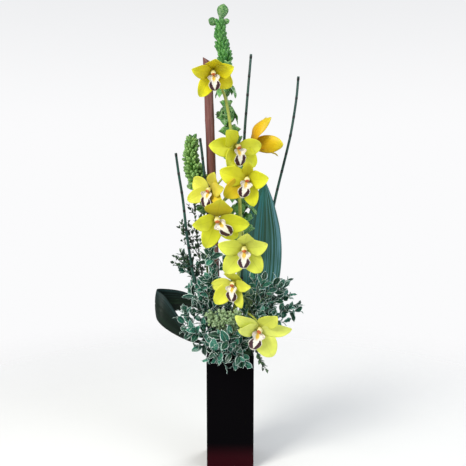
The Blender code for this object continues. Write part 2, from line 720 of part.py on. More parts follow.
# Each sprig: its foot in the foam, its route, its side branches and its seed
PITTOSPORUM_SPRIGS = {
    "pittosporum_left_front": ((-35, -36), [(-56, -50, 290), (-80, -54, 314), (-94, -50, 342)], [], 1),
    "pittosporum_left_mid": ((-26, -25), [(-42, -28, 312), (-60, -26, 356), (-68, -24, 388)], [], 2),
    "pittosporum_left_back": ((-20, 39), [(-46, 54, 330), (-80, 54, 392), (-106, 42, 452)], [], 3),
    "pittosporum_front_left": ((-20, -38), [(-26, -62, 282), (-30, -76, 270), (-32, -82, 256)], [], 4),
    "pittosporum_front": ((-6, -38), [(-6, -62, 288), (-4, -78, 292), (-2, -90, 286)], [], 5),
    "pittosporum_front_right": ((9, -38), [(14, -62, 280), (18, -78, 265), (18, -86, 248)], [], 6),
    "pittosporum_right_mid": ((24, -35), [(44, -46, 326), (60, -46, 374), (68, -38, 404)], [], 7),
    "pittosporum_right_inner": ((38, -23), [(58, -26, 320), (80, -22, 360), (94, -18, 396)], [], 10),
    "pittosporum_right": ((38, -8), [(68, -8, 312), (100, -2, 360), (122, 2, 398)], [], 8),
    "pittosporum_right_low": ((40, 8), [(72, 14, 294), (106, 18, 320), (144, 14, 344)], [], 9),
    "pittosporum_back": ((8, 40), [(4, 68, 300), (-10, 90, 332), (-24, 100, 362)], [], 11),
    "pittosporum_centre": ((-14, -13), [(-24, -26, 350), (-34, -34, 420), (-40, -32, 468)], [], 12),
}
TWIG_SPRIGS = {
    "twig_left": ((-28, -10), [(-52, 2, 360), (-66, 10, 450), (-74, 12, 520), (-76, 12, 576)],
                  [[(-66, 10, 450), (-86, 16, 486), (-104, 18, 520)],
                   [(-59, 6, 405), (-84, 12, 432), (-108, 16, 448)]], 31),
    "twig_hanging": ((37, -37), [(48, -62, 274), (58, -68, 260), (64, -68, 246), (68, -66, 230)], [], 32),
}
BERRY_SPRAYS = {
    "berries_front_left": ((-13, -24), [(-18, -50, 308), (-26, -64, 330)], [], 51),
    "berries_front": ((14, -22), [(9, -50, 314), (2, -66, 336)], [], 52),
    "berries_right": ((26, -14), [(40, -26, 338), (48, -30, 368)], [], 53),
}
BERRY_STALK = 0.022
BERRY_STEM_RADIUS = 0.0014
BERRY_STALK_RADII = (0.0006, 0.0005)
BERRIES_A_SPRAY = 6


def leaf_shape(length, width, curl):
    def shape(across, along):
        half = LEAF_ROOT * (1 - along) + 0.5 * width * math.sin(math.pi * along ** 0.9) ** 0.9
        out, lift, angle = arc(length, 0.5 * curl, curl, along)
        return Vector((half * across, out, lift))
    return shape


def build_sprig(name, lines, pieces, trees, material):
    kind = PITTOSPORUM if name in PITTOSPORUM_SPRIGS else TWIG
    seed = (PITTOSPORUM_SPRIGS if name in PITTOSPORUM_SPRIGS else TWIG_SPRIGS)[name][3]
    own = []
    draw = random.Random(seed)
    for line in lines:
        start = kind["start"] if line is lines[0] else BRANCH_START
        leaves = [(spot, direction, kind["lean"]) for spot, direction, share
                  in walk(line, start, kind["spacing"])]
        ahead = direction_at(line, len(line) - 1)
        leaves += [(line[-1] - ahead * 0.001, ahead, CROWN_LEAN)] * kind["crown"]
        for number, (spot, direction, lean) in enumerate(leaves):
            turn = number * GOLDEN_TURN + draw.uniform(-0.3, 0.3)
            size = draw.uniform(0.85, 1.15)
            curl = draw.uniform(0.3, 0.8)
            shape = leaf_shape(size * kind["length"], size * kind["width"], curl)
            places = [set_off(spot, direction, turn + swing, lean, 0.5 * kind["radius"])
                      for swing in (0.0, 0.6, -0.6, 1.2)]
            places = [lay(root, out, direction) for root, out in places]
            place_clear(lambda place: blade(1, kind["rows"], shape, LEAF_THICKNESS, place),
                        places, trees, own, pieces)
    return fuse(name, pieces, material)


def build_berries(name, lines, pieces, trees, material):
    own = []
    draw = random.Random(BERRY_SPRAYS[name][3])
    spots = list(walk(lines[0], 0.5, BERRY_RADIUS))
    for number in range(BERRIES_A_SPRAY):
        spot, direction, share = spots[number * len(spots) // BERRIES_A_SPRAY]
        turn = number * GOLDEN_TURN + draw.uniform(-0.3, 0.3)
        lean = lerp(1.1, 0.3, number / BERRIES_A_SPRAY) + draw.uniform(-0.2, 0.2)
        reach = BERRY_STALK * draw.uniform(0.6, 1.1)
        for swing in (0.0, 0.7, -0.7):
            root, out = set_off(spot, direction, turn + swing, lean, 0.0)
            bpy.ops.mesh.primitive_ico_sphere_add(subdivisions=1, radius=BERRY_RADIUS)
            berry = bpy.context.object
            berry.matrix_world = Matrix.Translation(spot + out * reach)
            stalk = tube([spot, spot + out * reach], BERRY_STALK_RADII, 0)
            if clear_of(berry, trees + own, CLEARANCE) and clear_of(stalk, trees + own, CLEARANCE):
                own.append(surface(berry)[1])
                pieces += [berry, stalk]
                break
            remove(berry)
            remove(stalk)
    return fuse(name, pieces, material)


def plant_stems():
    # The stems that carry leaves, bells or berries, planted before any of those are set on them:
    # for each node its lines of points and its first pieces.
    stems = {}
    for name, (foot, route, low, high) in BELL_STALKS.items():
        points, stem = planted_tube(foot, route, low, high, steps=1)
        stems[name] = ([points], [stem])
    for sprigs, radius in ((PITTOSPORUM_SPRIGS, PITTOSPORUM["radius"]), (TWIG_SPRIGS, TWIG["radius"]),
                           (BERRY_SPRAYS, BERRY_STEM_RADIUS)):
        for name, (foot, route, branches, seed) in sprigs.items():
            points, stem = planted_tube(foot, route, radius, 0.7 * radius, steps=2, resolution=0)
            lines, pieces = [points], [stem]
            for branch in branches:
                line = through([Vector(point) * MM for point in branch], 2)
                lines.append(line)
                pieces.append(tube(line, taper(len(line), 0.8 * radius, 0.5 * radius), 0))
            stems[name] = (lines, pieces)
    return stems


def stem_holes():
    # The foot and radius of every hole in the foam.
    holes = [(*CANE_FOOT, CANE_RADIUS), (*SPIKE_FOOT, SPIKE_RADIUS), (*TALL_LEAF_FOOT, PETIOLE_RADIUS),
             (*LOOPED_LEAF_FOOT, PETIOLE_RADIUS)]
    holes += [(*foot, HORSETAIL_FOOT_RADIUS) for foot, route in HORSETAILS.values()]
    holes += [(*plan[0], plan[2]) for plan in BELL_STALKS.values()]
    holes += [(*plan[0], PITTOSPORUM["radius"]) for plan in PITTOSPORUM_SPRIGS.values()]
    holes += [(*plan[0], TWIG["radius"]) for plan in TWIG_SPRIGS.values()]
    holes += [(*plan[0], BERRY_STEM_RADIUS) for plan in BERRY_SPRAYS.values()]
    return [(x * MM, y * MM, radius) for x, y, radius in holes]


def main():
    clear_scene()
    bpy.context.scene.collection.children.link(bpy.data.collections.new("orchid_arrangement"))
    paint = {name: make_material(name) for name in MATERIALS}
    items = [build_vase(paint["black_glass"]), build_foam(paint["wet_foam"], stem_holes()),
             build_cane(paint["cane_bark"])]
    for name in HORSETAILS:
        items.append(build_horsetail(name, paint["horsetail_green"]))
    for entry in BLOOMS:
        items.extend(build_bloom(entry, paint["orchid_yellow_green"], paint["orchid_lip_cream"]))
    items.append(build_spike(paint["spike_green"]))
    items.append(build_aspidistra("aspidistra_leaf_tall", paint["aspidistra_green"], TALL_LEAF_FOOT,
                                  TALL_LEAF, 0.16, 8))
    items.append(build_aspidistra("aspidistra_leaf_looped", paint["aspidistra_green"], LOOPED_LEAF_FOOT,
                                  LOOPED_LEAF, -0.12, 12))
    stems = plant_stems()
    trees = {item.name: [surface(item)[1]] for item in items}
    trees.update({name: [surface(piece)[1] for piece in pieces] for name, (lines, pieces) in stems.items()})
    builders = {name: (build_bells, "bells_green") for name in BELL_STALKS}
    builders.update({name: (build_sprig, "pittosporum_green") for name in PITTOSPORUM_SPRIGS})
    builders.update({name: (build_sprig, "twig_green") for name in TWIG_SPRIGS})
    builders.update({name: (build_berries, "berry_green") for name in BERRY_SPRAYS})
    for name, (build, color) in builders.items():
        lines, pieces = stems[name]
        others = [tree for other, group in trees.items() if other != name for tree in group]
        trees[name] = [surface(build(name, lines, pieces, others, paint[color]))[1]]


main()
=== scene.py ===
import json
import math
import random

import bmesh
import bpy
from mathutils import Matrix, Vector, noise

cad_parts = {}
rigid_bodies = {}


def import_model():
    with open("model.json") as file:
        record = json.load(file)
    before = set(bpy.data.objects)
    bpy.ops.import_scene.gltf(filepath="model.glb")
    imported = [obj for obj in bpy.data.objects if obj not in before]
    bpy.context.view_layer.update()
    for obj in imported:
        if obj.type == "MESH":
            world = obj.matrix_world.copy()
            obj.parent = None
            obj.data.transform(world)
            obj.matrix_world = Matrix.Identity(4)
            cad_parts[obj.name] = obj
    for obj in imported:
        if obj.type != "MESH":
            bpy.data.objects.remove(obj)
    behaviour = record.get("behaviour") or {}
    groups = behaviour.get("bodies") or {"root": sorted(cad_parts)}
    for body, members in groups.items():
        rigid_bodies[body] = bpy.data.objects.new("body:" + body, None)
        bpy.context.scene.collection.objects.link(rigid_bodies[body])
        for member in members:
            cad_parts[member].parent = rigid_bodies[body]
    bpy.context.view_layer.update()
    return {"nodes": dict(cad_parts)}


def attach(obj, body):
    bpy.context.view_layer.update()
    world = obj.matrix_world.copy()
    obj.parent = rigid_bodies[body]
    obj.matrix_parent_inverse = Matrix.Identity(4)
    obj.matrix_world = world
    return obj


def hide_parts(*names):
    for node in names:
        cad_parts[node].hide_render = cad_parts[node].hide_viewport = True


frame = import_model()
mm = 0.001
print("frame loaded with", len(frame["nodes"]), "nodes")


def linearColor(hexColor):
    # an sRGB hex colour as the linear values that Blender takes
    parts = [int(hexColor[start:start + 2], 16) / 255 for start in (1, 3, 5)]
    return tuple(part / 12.92 if part <= 0.04045 else ((part + 0.055) / 1.055) ** 2.4 for part in parts) + (1.0,)


def addNode(tree, kind, settings=None, links=None, output=0):
    # adds a node, sets its properties, then fills or links its inputs, and gives one of its outputs
    node = tree.nodes.new(kind)
    for name, value in (settings or {}).items():
        if name == "stops":
            while len(node.color_ramp.elements) < len(value):
                node.color_ramp.elements.new(0.5)
            for element, (position, color) in zip(node.color_ramp.elements, value):
                element.position = position
                element.color = linearColor(color)
        else:
            setattr(node, name, value)
    for name, value in (links or {}).items():
        for part in value if isinstance(value, list) else [value]:
            if isinstance(part, bpy.types.NodeSocket):
                tree.links.new(part, node.inputs[name])
            else:
                node.inputs[name].default_value = part
    return node.outputs[output] if len(node.outputs) else node


# Short forms of the nodes that are used most

def calc(tree, operation, *values):
    return addNode(tree, "ShaderNodeMath", {"operation": operation}, dict(enumerate(values)))


def product(tree, first, *others):
    for other in others:
        first = calc(tree, "MULTIPLY", first, other)
    return first


def fade(tree, value, low, high, start=0.0, stop=1.0, kind="SMOOTHSTEP"):
    # goes from start to stop while the value goes from low to high
    return addNode(tree, "ShaderNodeMapRange", {"interpolation_type": kind},
                   {0: value, 1: low, 2: high, 3: start, 4: stop})


def blend(tree, share, under, over):
    under, over = (linearColor(color) if isinstance(color, str) else color for color in (under, over))
    return addNode(tree, "ShaderNodeMix", {"data_type": "RGBA"}, {0: share, 6: under, 7: over}, 2)


def ramp(tree, value, *stops):
    return addNode(tree, "ShaderNodeValToRGB", {"stops": stops}, {"Fac": value})


def bodyPlace(tree):
    return addNode(tree, "ShaderNodeTexCoord", output="Object")


def cloudOf(tree, scale, detail, place=None):
    return addNode(tree, "ShaderNodeTexNoise", {},
                   {"Vector": place or bodyPlace(tree), "Scale": scale, "Detail": detail})


def cellsOf(tree, scale, feature="F1"):
    return addNode(tree, "ShaderNodeTexVoronoi", {"feature": feature}, {"Vector": bodyPlace(tree), "Scale": scale})


def sheetUv(tree):
    return addNode(tree, "ShaderNodeUVMap", {"uv_map": "UVMap"})


def acrossSheet(tree):
    return addNode(tree, "ShaderNodeSeparateXYZ", {}, {0: sheetUv(tree)}, "X")


def alongSheet(tree):
    return addNode(tree, "ShaderNodeSeparateXYZ", {}, {0: sheetUv(tree)}, "Y")


def besideMidrib(tree):
    # 0 on the midrib, 1 on both margins
    return calc(tree, "ABSOLUTE", calc(tree, "MULTIPLY_ADD", acrossSheet(tree), 2.0, -1.0))


def attribute(tree, name):
    return addNode(tree, "ShaderNodeAttribute", {"attribute_name": name}, output="Fac")


def newMaterial(name, draw, *values):
    # a material whose nodes are added by one of the functions below
    material = bpy.data.materials.new(name)
    material.use_nodes = True
    material.node_tree.nodes.clear()
    draw(material.node_tree, *values)
    return material


def endMaterial(tree, color, roughness, height, strength, depth, others=None):
    # the shader with its fixed values set on its own sockets, a bump with its depth in mm, and the output
    bump = addNode(tree, "ShaderNodeBump", {}, {"Height": height, "Strength": strength, "Distance": depth * mm})
    surface = addNode(tree, "ShaderNodeBsdfPrincipled", {},
                      {"Base Color": color, "Roughness": roughness, "Normal": bump, **(others or {})})
    addNode(tree, "ShaderNodeOutputMaterial", {}, {"Surface": surface})


def glowing(weight, radius, depth):
    # light that enters the skin and spreads in it, its depth in mm
    return {"Subsurface Weight": weight, "Subsurface Radius": radius, "Subsurface Scale": depth * mm}


def lerp(low, high, share):
    return low + (high - low) * share


def smoothstep(low, high, value):
    share = min(1.0, max(0.0, (value - low) / (high - low)))
    return share * share * (3 - 2 * share)


def hump(value, middle, width):
    return math.exp(-((value - middle) / width) ** 2)


def newObject(name, data):
    item = bpy.data.objects.new(name, data)
    bpy.context.scene.collection.objects.link(item)
    return item


def formObject(name, form, *materials):
    # a bmesh as an object in the scene
    mesh = bpy.data.meshes.new(name)
    form.to_mesh(mesh)
    form.free()
    for material in materials:
        mesh.materials.append(material)
    return newObject(name, mesh)


# Studio: a plain pale floor, soft light from large panels and the photograph's low, slightly downward camera

studio = {
    "camera": (0.006, -1.478, 0.697), "tiltDown": 7.41, "lens": 54.08,
    "lightColor": "#EEF3FA", "lightStrength": 0.50,
    "backgroundColor": "#FBFBFC", "backgroundShadedTop": "#E9EAEC", "backgroundTurnsAt": 0.3,
    "floorColor": "#F4F4F2", "floorHalf": 1.5, "floorDrop": 0.5 * mm, "floorSolidTo": 0.35, "floorGoneAt": 1.30,
}
# name, place, aimed at, width, power, colour
panels = [
    ("keyPanel", (-1.25, -1.35, 1.75), (0, 0, 0.5), 0.9, 46, "#FFFCF4"),
    ("fillPanel", (1.5, -1.3, 0.8), (0, 0, 0.5), 1.1, 13, "#F4F8FF"),
    ("rimPanel", (0.9, 1.2, 1.5), (0, 0, 0.55), 0.8, 12, "#FFFFFF"),
]


def studioPaper(tree):
    # Pale matt paper that fades out into the background all round.
    reach = addNode(tree, "ShaderNodeVectorMath", {"operation": "LENGTH"}, {0: bodyPlace(tree)}, "Value")
    solid = fade(tree, reach, studio["floorSolidTo"], studio["floorGoneAt"], 1.0, 0.0)
    endMaterial(tree, linearColor(studio["floorColor"]), 0.7, cloudOf(tree, 40.0, 4.0), 0.03, 1.0, {"Alpha": solid})


def buildStudio():
    look = studio
    camera = newObject("studioCamera", bpy.data.cameras.new("studioCamera"))
    camera.location = look["camera"]
    camera.rotation_euler = (math.radians(90 - look["tiltDown"]), 0, 0)
    camera.data.lens = look["lens"]
    bpy.context.scene.camera = camera
    # the world lights the object softly, and looks brighter to the camera than it lights
    world = bpy.data.worlds.new("studioWorld")
    bpy.context.scene.world = world
    world.use_nodes = True
    tree = world.node_tree
    tree.nodes.clear()
    height = addNode(tree, "ShaderNodeSeparateXYZ", {}, {0: addNode(tree, "ShaderNodeTexCoord")}, "Z")
    # painted shade: the background the camera sees greys from near white towards the top
    seen = blend(tree, fade(tree, height, 0.0, look["backgroundTurnsAt"]),
                 look["backgroundColor"], look["backgroundShadedTop"])
    light = addNode(tree, "ShaderNodeBackground", {},
                    {"Color": linearColor(look["lightColor"]), "Strength": look["lightStrength"]})
    picture = addNode(tree, "ShaderNodeBackground", {}, {"Color": seen, "Strength": 1.0})
    both = addNode(tree, "ShaderNodeMixShader", {},
                   {0: addNode(tree, "ShaderNodeLightPath"), 1: light, 2: picture})
    addNode(tree, "ShaderNodeOutputWorld", {}, {"Surface": both})
    for name, spot, target, width, power, color in panels:
        panel = bpy.data.lights.new(name, "AREA")
        panel.size = width
        panel.energy = power
        panel.color = linearColor(color)[:3]
        holder = newObject(name, panel)
        holder.location = spot
        holder.rotation_euler = (Vector(spot) - Vector(target)).to_track_quat("Z", "Y").to_euler()
    bpy.context.scene.view_settings.view_transform = "Standard"
    sheet = bmesh.new()
    bmesh.ops.create_grid(sheet, x_segments=1, y_segments=1, size=look["floorHalf"])
    floor = formObject("floor", sheet, newMaterial("studioPaper", studioPaper))
    floor.data.transform(Matrix.Translation((0, 0, -look["floorDrop"])))
    print("studio ready")


buildStudio()


# Materials of living tissue. Every leaf, petal and lip has a UV map: U runs across it, V from root to tip.

def petalSkin(tree):
    # Cymbidium petal: a waxy living skin. The eye reads it by the soft light that passes through it, the
    # fine lengthwise veins 1.5 mm apart and the darker root.
    across, along, side = acrossSheet(tree), alongSheet(tree), besideMidrib(tree)
    cloud = cloudOf(tree, 55.0, 3.0)
    green = ramp(tree, along, (0.0, "#A8A410"), (0.22, "#D4D812"), (0.6, "#E2E81A"), (1.0, "#E8EE34"))
    gold = ramp(tree, along, (0.0, "#7E2E14"), (0.25, "#B45A16"), (0.45, "#D68A12"), (0.7, "#DFA416"),
                (1.0, "#CFB428"))
    # a paler, whitish lime tint on some blooms: partly paler colour, partly painted sheen
    green = blend(tree, attribute(tree, "pale"), green, "#DCE69A")
    mixed = blend(tree, attribute(tree, "gold"), green, gold)
    veins = calc(tree, "SINE", calc(tree, "MULTIPLY_ADD", across, 138.0, cloud))
    shade = product(tree, fade(tree, veins, 0.2, 1.0, 1.0, 0.93, "LINEAR"), fade(tree, side, 0.0, 0.07, 0.90, 1.0),
                    fade(tree, cloud, 0.3, 0.7, 0.90, 1.06, "LINEAR"))
    color = addNode(tree, "ShaderNodeVectorMath", {"operation": "SCALE"}, {0: mixed, "Scale": shade})
    endMaterial(tree, color, 0.42, veins, 0.16, 0.25,
                {"IOR": 1.45, "Specular IOR Level": 0.28, **glowing(0.22, (1.0, 0.9, 0.25), 2.0)})


def lipVelvet(tree):
    # Cymbidium lip: velvety cream tissue. A dark maroon patch fills the tip inside its pale rim, stripes mark
    # the side lobes, and the throat is yellow.
    along = alongSheet(tree)
    blotch = cloudOf(tree, 420.0, 3.0)
    side = calc(tree, "ADD", besideMidrib(tree), fade(tree, blotch, 0.25, 0.75, -0.09, 0.09, "LINEAR"))
    # the patch draws together from a V towards the tip
    patch = product(tree, fade(tree, calc(tree, "ADD", along, side), 0.90, 0.98),
                    fade(tree, side, 0.86, 0.94, 1.0, 0.0), fade(tree, along, 0.36, 0.44),
                    fade(tree, along, 0.90, 0.96, 1.0, 0.0))
    stripes = product(tree, fade(tree, calc(tree, "SINE", calc(tree, "MULTIPLY", side, 34.0)), 0.2, 0.8),
                      fade(tree, along, 0.34, 0.46, 0.7, 0.0), fade(tree, side, 0.34, 0.5))
    throat = product(tree, fade(tree, side, 0.14, 0.30, 1.0, 0.0), fade(tree, along, 0.30, 0.50, 1.0, 0.0))
    color = blend(tree, calc(tree, "MAXIMUM", patch, stripes), blend(tree, throat, "#F6EFE0", "#E3BE3C"), "#3C0614")
    endMaterial(tree, color, 0.55, blotch, 0.25, 0.2, {"Sheen Weight": 0.15, **glowing(0.15, (1.0, 0.7, 0.5), 1.5)})


def flesh(tree, low, high, roughness, speckle=None):
    # Plump smooth plant flesh, such as a flower stem or column: a satin skin with faint mottling, and
    # speckles where they are given.
    mottle = cloudOf(tree, 180.0, 4.0)
    color = ramp(tree, mottle, (0.35, low), (0.65, high))
    if speckle:
        color = blend(tree, fade(tree, cellsOf(tree, 900.0), 0.18, 0.30, 0.8, 0.0, "LINEAR"), color, speckle)
    endMaterial(tree, color, roughness, mottle, 0.2, 0.2, glowing(0.1, (1.0, 0.9, 0.3), 1.5))


def calyxTissue(tree):
    # Bell of Ireland calyx: thin, papery green tissue. The eye reads it by its pale rim and its net of pale
    # veins, drawn about 3 mm apart, coarser than life so that they show.
    along = alongSheet(tree)
    shaded = calc(tree, "MULTIPLY_ADD", along, 0.6, calc(tree, "MULTIPLY", attribute(tree, "tone"), 0.4))
    green = ramp(tree, shaded, (0.0, "#1C4A20"), (0.4, "#2A6A2B"), (0.75, "#3F8738"), (1.0, "#5C9F4A"))
    veins = calc(tree, "MAXIMUM", fade(tree, cellsOf(tree, 300.0, "DISTANCE_TO_EDGE"), 0.02, 0.14, 1.0, 0.0),
                 fade(tree, along, 0.90, 0.99))
    color = blend(tree, calc(tree, "MULTIPLY", veins, 0.45), green, "#BBD998")
    endMaterial(tree, color, 0.42, veins, 0.3, 0.3, glowing(0.12, (0.6, 1.0, 0.3), 1.5))


def bladeSkin(tree, colors, paintedSheenShare, roughness, gloss):
    # Aspidistra leaf: leathery and half glossy. Parallel ribs run its whole length, drawn 3 mm apart, and
    # long streaks of painted bluish sheen, a reflection painted into the colour, lighten its dark green on one
    # half. The same painted sheen also tints the ribs paler and bluish.
    across = acrossSheet(tree)
    stretched = addNode(tree, "ShaderNodeMapping", {}, {"Vector": sheetUv(tree), "Scale": (26.0, 2.2, 1.0)})
    cloud = cloudOf(tree, 1.0, 4.0, stretched)
    ribs = calc(tree, "SINE", calc(tree, "MULTIPLY", across, 200.0))
    green = ramp(tree, cloud, *zip((0.32, 0.5, 0.66), colors))
    # ribs: the leaf's own paler ribs, tinted bluish by the share of painted sheen
    color = blend(tree, fade(tree, ribs, 0.4, 1.0, 0.0, paintedSheenShare, "LINEAR"), green, "#5F9FA6")
    # painted sheen: pale bluish streaks on one half of the leaf, standing in for a reflection
    sheen = product(tree, fade(tree, across, 0.48, 0.95, 0.0, 2.6 * paintedSheenShare), fade(tree, cloud, 0.44, 0.60))
    endMaterial(tree, blend(tree, sheen, color, "#7FAFC6"), roughness, ribs, 0.35, 0.4, {"Specular IOR Level": gloss})


def variegatedLeaf(tree):
    # Variegated pittosporum leaf: thin, leathery and satin. Its blue-green middle is blotched darker, and an
    # uneven cream margin about 1 mm wide outlines it.
    along, side = alongSheet(tree), besideMidrib(tree)
    blotch = cloudOf(tree, 240.0, 3.0)
    edge = calc(tree, "ADD", side, fade(tree, blotch, 0.3, 0.7, -0.09, 0.09, "LINEAR"))
    margin = calc(tree, "MAXIMUM", fade(tree, edge, 0.80, 0.92), fade(tree, along, 0.90, 0.97))
    tone = calc(tree, "MULTIPLY_ADD", attribute(tree, "tone"), 0.5, -0.1)
    green = ramp(tree, calc(tree, "MULTIPLY_ADD", blotch, 0.7, tone),
                 (0.2, "#0E3020"), (0.42, "#144A36"), (0.62, "#1F6E5C"), (0.9, "#5AA587"))
    rib = fade(tree, side, 0.0, 0.09, 0.55, 0.0)
    color = blend(tree, margin, blend(tree, rib, green, "#9DC3A4"), "#DAEAE2")
    endMaterial(tree, color, 0.36, rib, 0.4, 0.3, {"Specular IOR Level": 0.5})


def smallLeaf(tree):
    # Small dull twig leaves: matt green skins that differ from leaf to leaf.
    cloud = cloudOf(tree, 150.0, 3.0)
    mixed = calc(tree, "MULTIPLY_ADD", attribute(tree, "tone"), 0.6, calc(tree, "MULTIPLY", cloud, 0.4))
    endMaterial(tree, ramp(tree, mixed, (0.15, "#14261A"), (0.5, "#27452C"), (0.85, "#4B6B42")), 0.5, cloud, 0.2, 0.2)


def bark(tree, colors, grain, roughness):
    # Bark or woody skin: long streaks along the stem over a fine grain, with the shine of a smooth young bark.
    stretched = addNode(tree, "ShaderNodeMapping", {},
                        {"Vector": bodyPlace(tree), "Scale": (grain, grain, grain * 0.06)})
    streaks = cloudOf(tree, 1.0, 5.0, stretched)
    endMaterial(tree, ramp(tree, streaks, *zip((0.3, 0.5, 0.72), colors)), roughness, streaks, 0.35, 0.4)


def blackGlass(tree):
    # Black glass, blown into a mould and polished: it is nearly black with a sharp, weak shine. Towards the
    # bottom its colour is painted a deep maroon, the glass's own dark red shown as a painted glow for the light that
    # gathers in the thick base.
    height = addNode(tree, "ShaderNodeSeparateXYZ", {}, {0: bodyPlace(tree)}, "Z")
    # painted glow: deep maroon up to 18 mm, fading to black by 60 mm
    color = blend(tree, fade(tree, height, 0.018, 0.060, 1.0, 0.0), "#020103", "#2A070E")
    endMaterial(tree, color, 0.05, cloudOf(tree, 9.0, 2.0), 0.04, 1.0, {"IOR": 1.52, "Specular IOR Level": 0.03})


def wetFoam(tree):
    # Wet floral foam: a matt, open-celled crumb with cells drawn 1 mm across.
    cells = cellsOf(tree, 1000.0)
    endMaterial(tree, ramp(tree, cells, (0.1, "#0F2413"), (0.6, "#24482A")), 0.9, cells, 0.6, 0.5)


# name, drawing function and its values
finishes = {
    "petal": ("cymbidiumPetalSkin", petalSkin),
    "lip": ("cymbidiumLipVelvet", lipVelvet),
    "column": ("cymbidiumColumnFlesh", flesh, "#E2D77C", "#F0E9B8", 0.4, "#B8622E"),
    "cap": ("antherCapFlesh", flesh, "#A03C12", "#C9702A", 0.38),
    "flowerStem": ("flowerStemFlesh", flesh, "#8E9A3A", "#A9B24C", 0.42),
    "calyx": ("bellCalyxTissue", calyxTissue),
    "bud": ("bellBudSkin", flesh, "#2F6E2E", "#5E9C48", 0.45),
    "lightBud": ("lightBellBudSkin", flesh, "#4C7E38", "#9AC26C", 0.45),
    "bellStem": ("bellStemFlesh", flesh, "#6E9A45", "#8DB35F", 0.45),
    # aspidistra skins: three greens for the long streaks, the share of painted bluish sheen, roughness and gloss; the
    # tall leaf's teal green is partly painted sheen too
    "tallBlade": ("aspidistraLeafSkin", bladeSkin, ("#0D4026", "#175A3C", "#287C84"), 0.24, 0.33, 0.55),
    "darkBlade": ("shadedAspidistraLeafSkin", bladeSkin, ("#050D06", "#09170C", "#122714"), 0.03, 0.45, 0.20),
    "variegated": ("variegatedPittosporumLeaf", variegatedLeaf),
    "sprigBark": ("pittosporumTwigBark", bark, ("#1C1A14", "#2E2B20", "#4A4330"), 400.0, 0.6),
    "twigBark": ("darkTwigBark", bark, ("#17130F", "#2A221B", "#40362A"), 400.0, 0.6),
    "smallLeaf": ("darkTwigLeaf", smallLeaf),
    "horsetail": ("horsetailStemSkin", bark, ("#123029", "#1C443B", "#2A5A4B"), 300.0, 0.42),
    "sheath": ("horsetailSheath", bark, ("#060B09", "#0D1512", "#1A2620"), 500.0, 0.5),
    "cane": ("mauveCaneBark", bark, ("#4E2A26", "#6C3E38", "#84534B"), 260.0, 0.45),
    "pith": ("cutCanePith", flesh, "#8F8A92", "#A7A0A6", 0.8),
    "berry": ("greyGreenBerrySkin", flesh, "#7C9A6B", "#A5BB8E", 0.5),
    "glass": ("blackMaroonGlass", blackGlass),
    "foam": ("wetFloralFoam", wetFoam),
}
paint = {key: newMaterial(*plan) for key, plan in finishes.items()}
print("materials ready:", len(paint))


# Shared making: smooth paths, sheets shaped by a formula, rings, plain meshes and finished pieces

def splineAt(knots, along):
    # the point, or number, at a share of a smooth curve through the knots
    return between(knots, *splitShare(along, len(knots)))


def splitShare(along, count):
    position = along * (count - 1)
    index = min(int(position), count - 2)
    return index, position - index


def between(knots, index, t):
    # a share t of the way from one knot to the next on the smooth curve through them all
    ends = [2 * knots[0] - knots[1], *knots, 2 * knots[-1] - knots[-2]]
    before, start, stop, after = ends[index:index + 4]
    return 0.5 * (2 * start + (stop - before) * t + (2 * before - 5 * start + 4 * stop - after) * t * t
                  + (3 * start - before - 3 * stop + after) * t * t * t)


def smoothPath(points, steps):
    # a curve through the given points, with some steps between each two
    knots = [Vector(point) for point in points]
    path = [between(knots, index, step / steps) for index in range(len(knots) - 1) for step in range(steps)]
    return [*path, knots[-1]]


# heights in mm between which every stem stands upright in the foam
stemFoot = {"low": 192, "high": 274}


def plantedPath(foot, route, steps):
    # a stem stands upright in the foam and then follows its route; all in mm
    low = Vector((*foot, stemFoot["low"]))
    return [point * mm for point in [low, *smoothPath([(*foot, stemFoot["high"]), *route], steps)]]


def madePlain(item, name, place=None):
    # the evaluated shape as a plain mesh, with its place in the mesh
    if place is not None:
        item.matrix_world = place
        bpy.context.view_layer.update()
    depsgraph = bpy.context.evaluated_depsgraph_get()
    mesh = bpy.data.meshes.new_from_object(item.evaluated_get(depsgraph), depsgraph=depsgraph)
    mesh.transform(item.matrix_world)
    mesh.name = name
    bpy.data.objects.remove(item)
    return newObject(name, mesh)


def madePiece(piece, slotName, *nodes):
    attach(piece, "root")
    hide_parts(*nodes)
    return piece


def joined(pieces, name):
    # several plain meshes as one; each keeps its own materials
    bpy.ops.object.select_all(action="DESELECT")
    for piece in pieces:
        piece.select_set(True)
    bpy.context.view_layer.objects.active = pieces[0]
    bpy.ops.object.join()
    pieces[0].name = name
    pieces[0].data.name = name
    return pieces[0]


def asName(stem, words):
    return stem + "".join(word.capitalize() for word in words.split("_"))


def ringOf(form, sides, place):
    # a ring of points, each placed by its angle and its number
    return [form.verts.new(place(math.tau * side / sides, side)) for side in range(sides)]


def joinRings(form, rings):
    # smooth faces from each ring to the next; a ring of one point is a pole
    for lower, upper in zip(rings, rings[1:]):
        sides = max(len(lower), len(upper))
        for side in range(sides):
            after = side + 1
            corners = [lower[side % len(lower)], lower[after % len(lower)], upper[after % len(upper)],
                       upper[side % len(upper)]]
            form.faces.new(list(dict.fromkeys(corners))).smooth = True


def roundedMesh(name, profile, sides, finish, squash=1.0):
    # a closed form turned about Z from (radius, height) pairs, flattened along Y by squash
    form = bmesh.new()
    rings = []
    for radius, height in profile:
        rings.append(ringOf(form, sides if radius else 1, lambda angle, side: (
            radius * math.cos(angle), radius * math.sin(angle) * squash, height)))
    joinRings(form, rings)
    bmesh.ops.recalc_face_normals(form, faces=form.faces)
    return formObject(name, form, paint[finish])


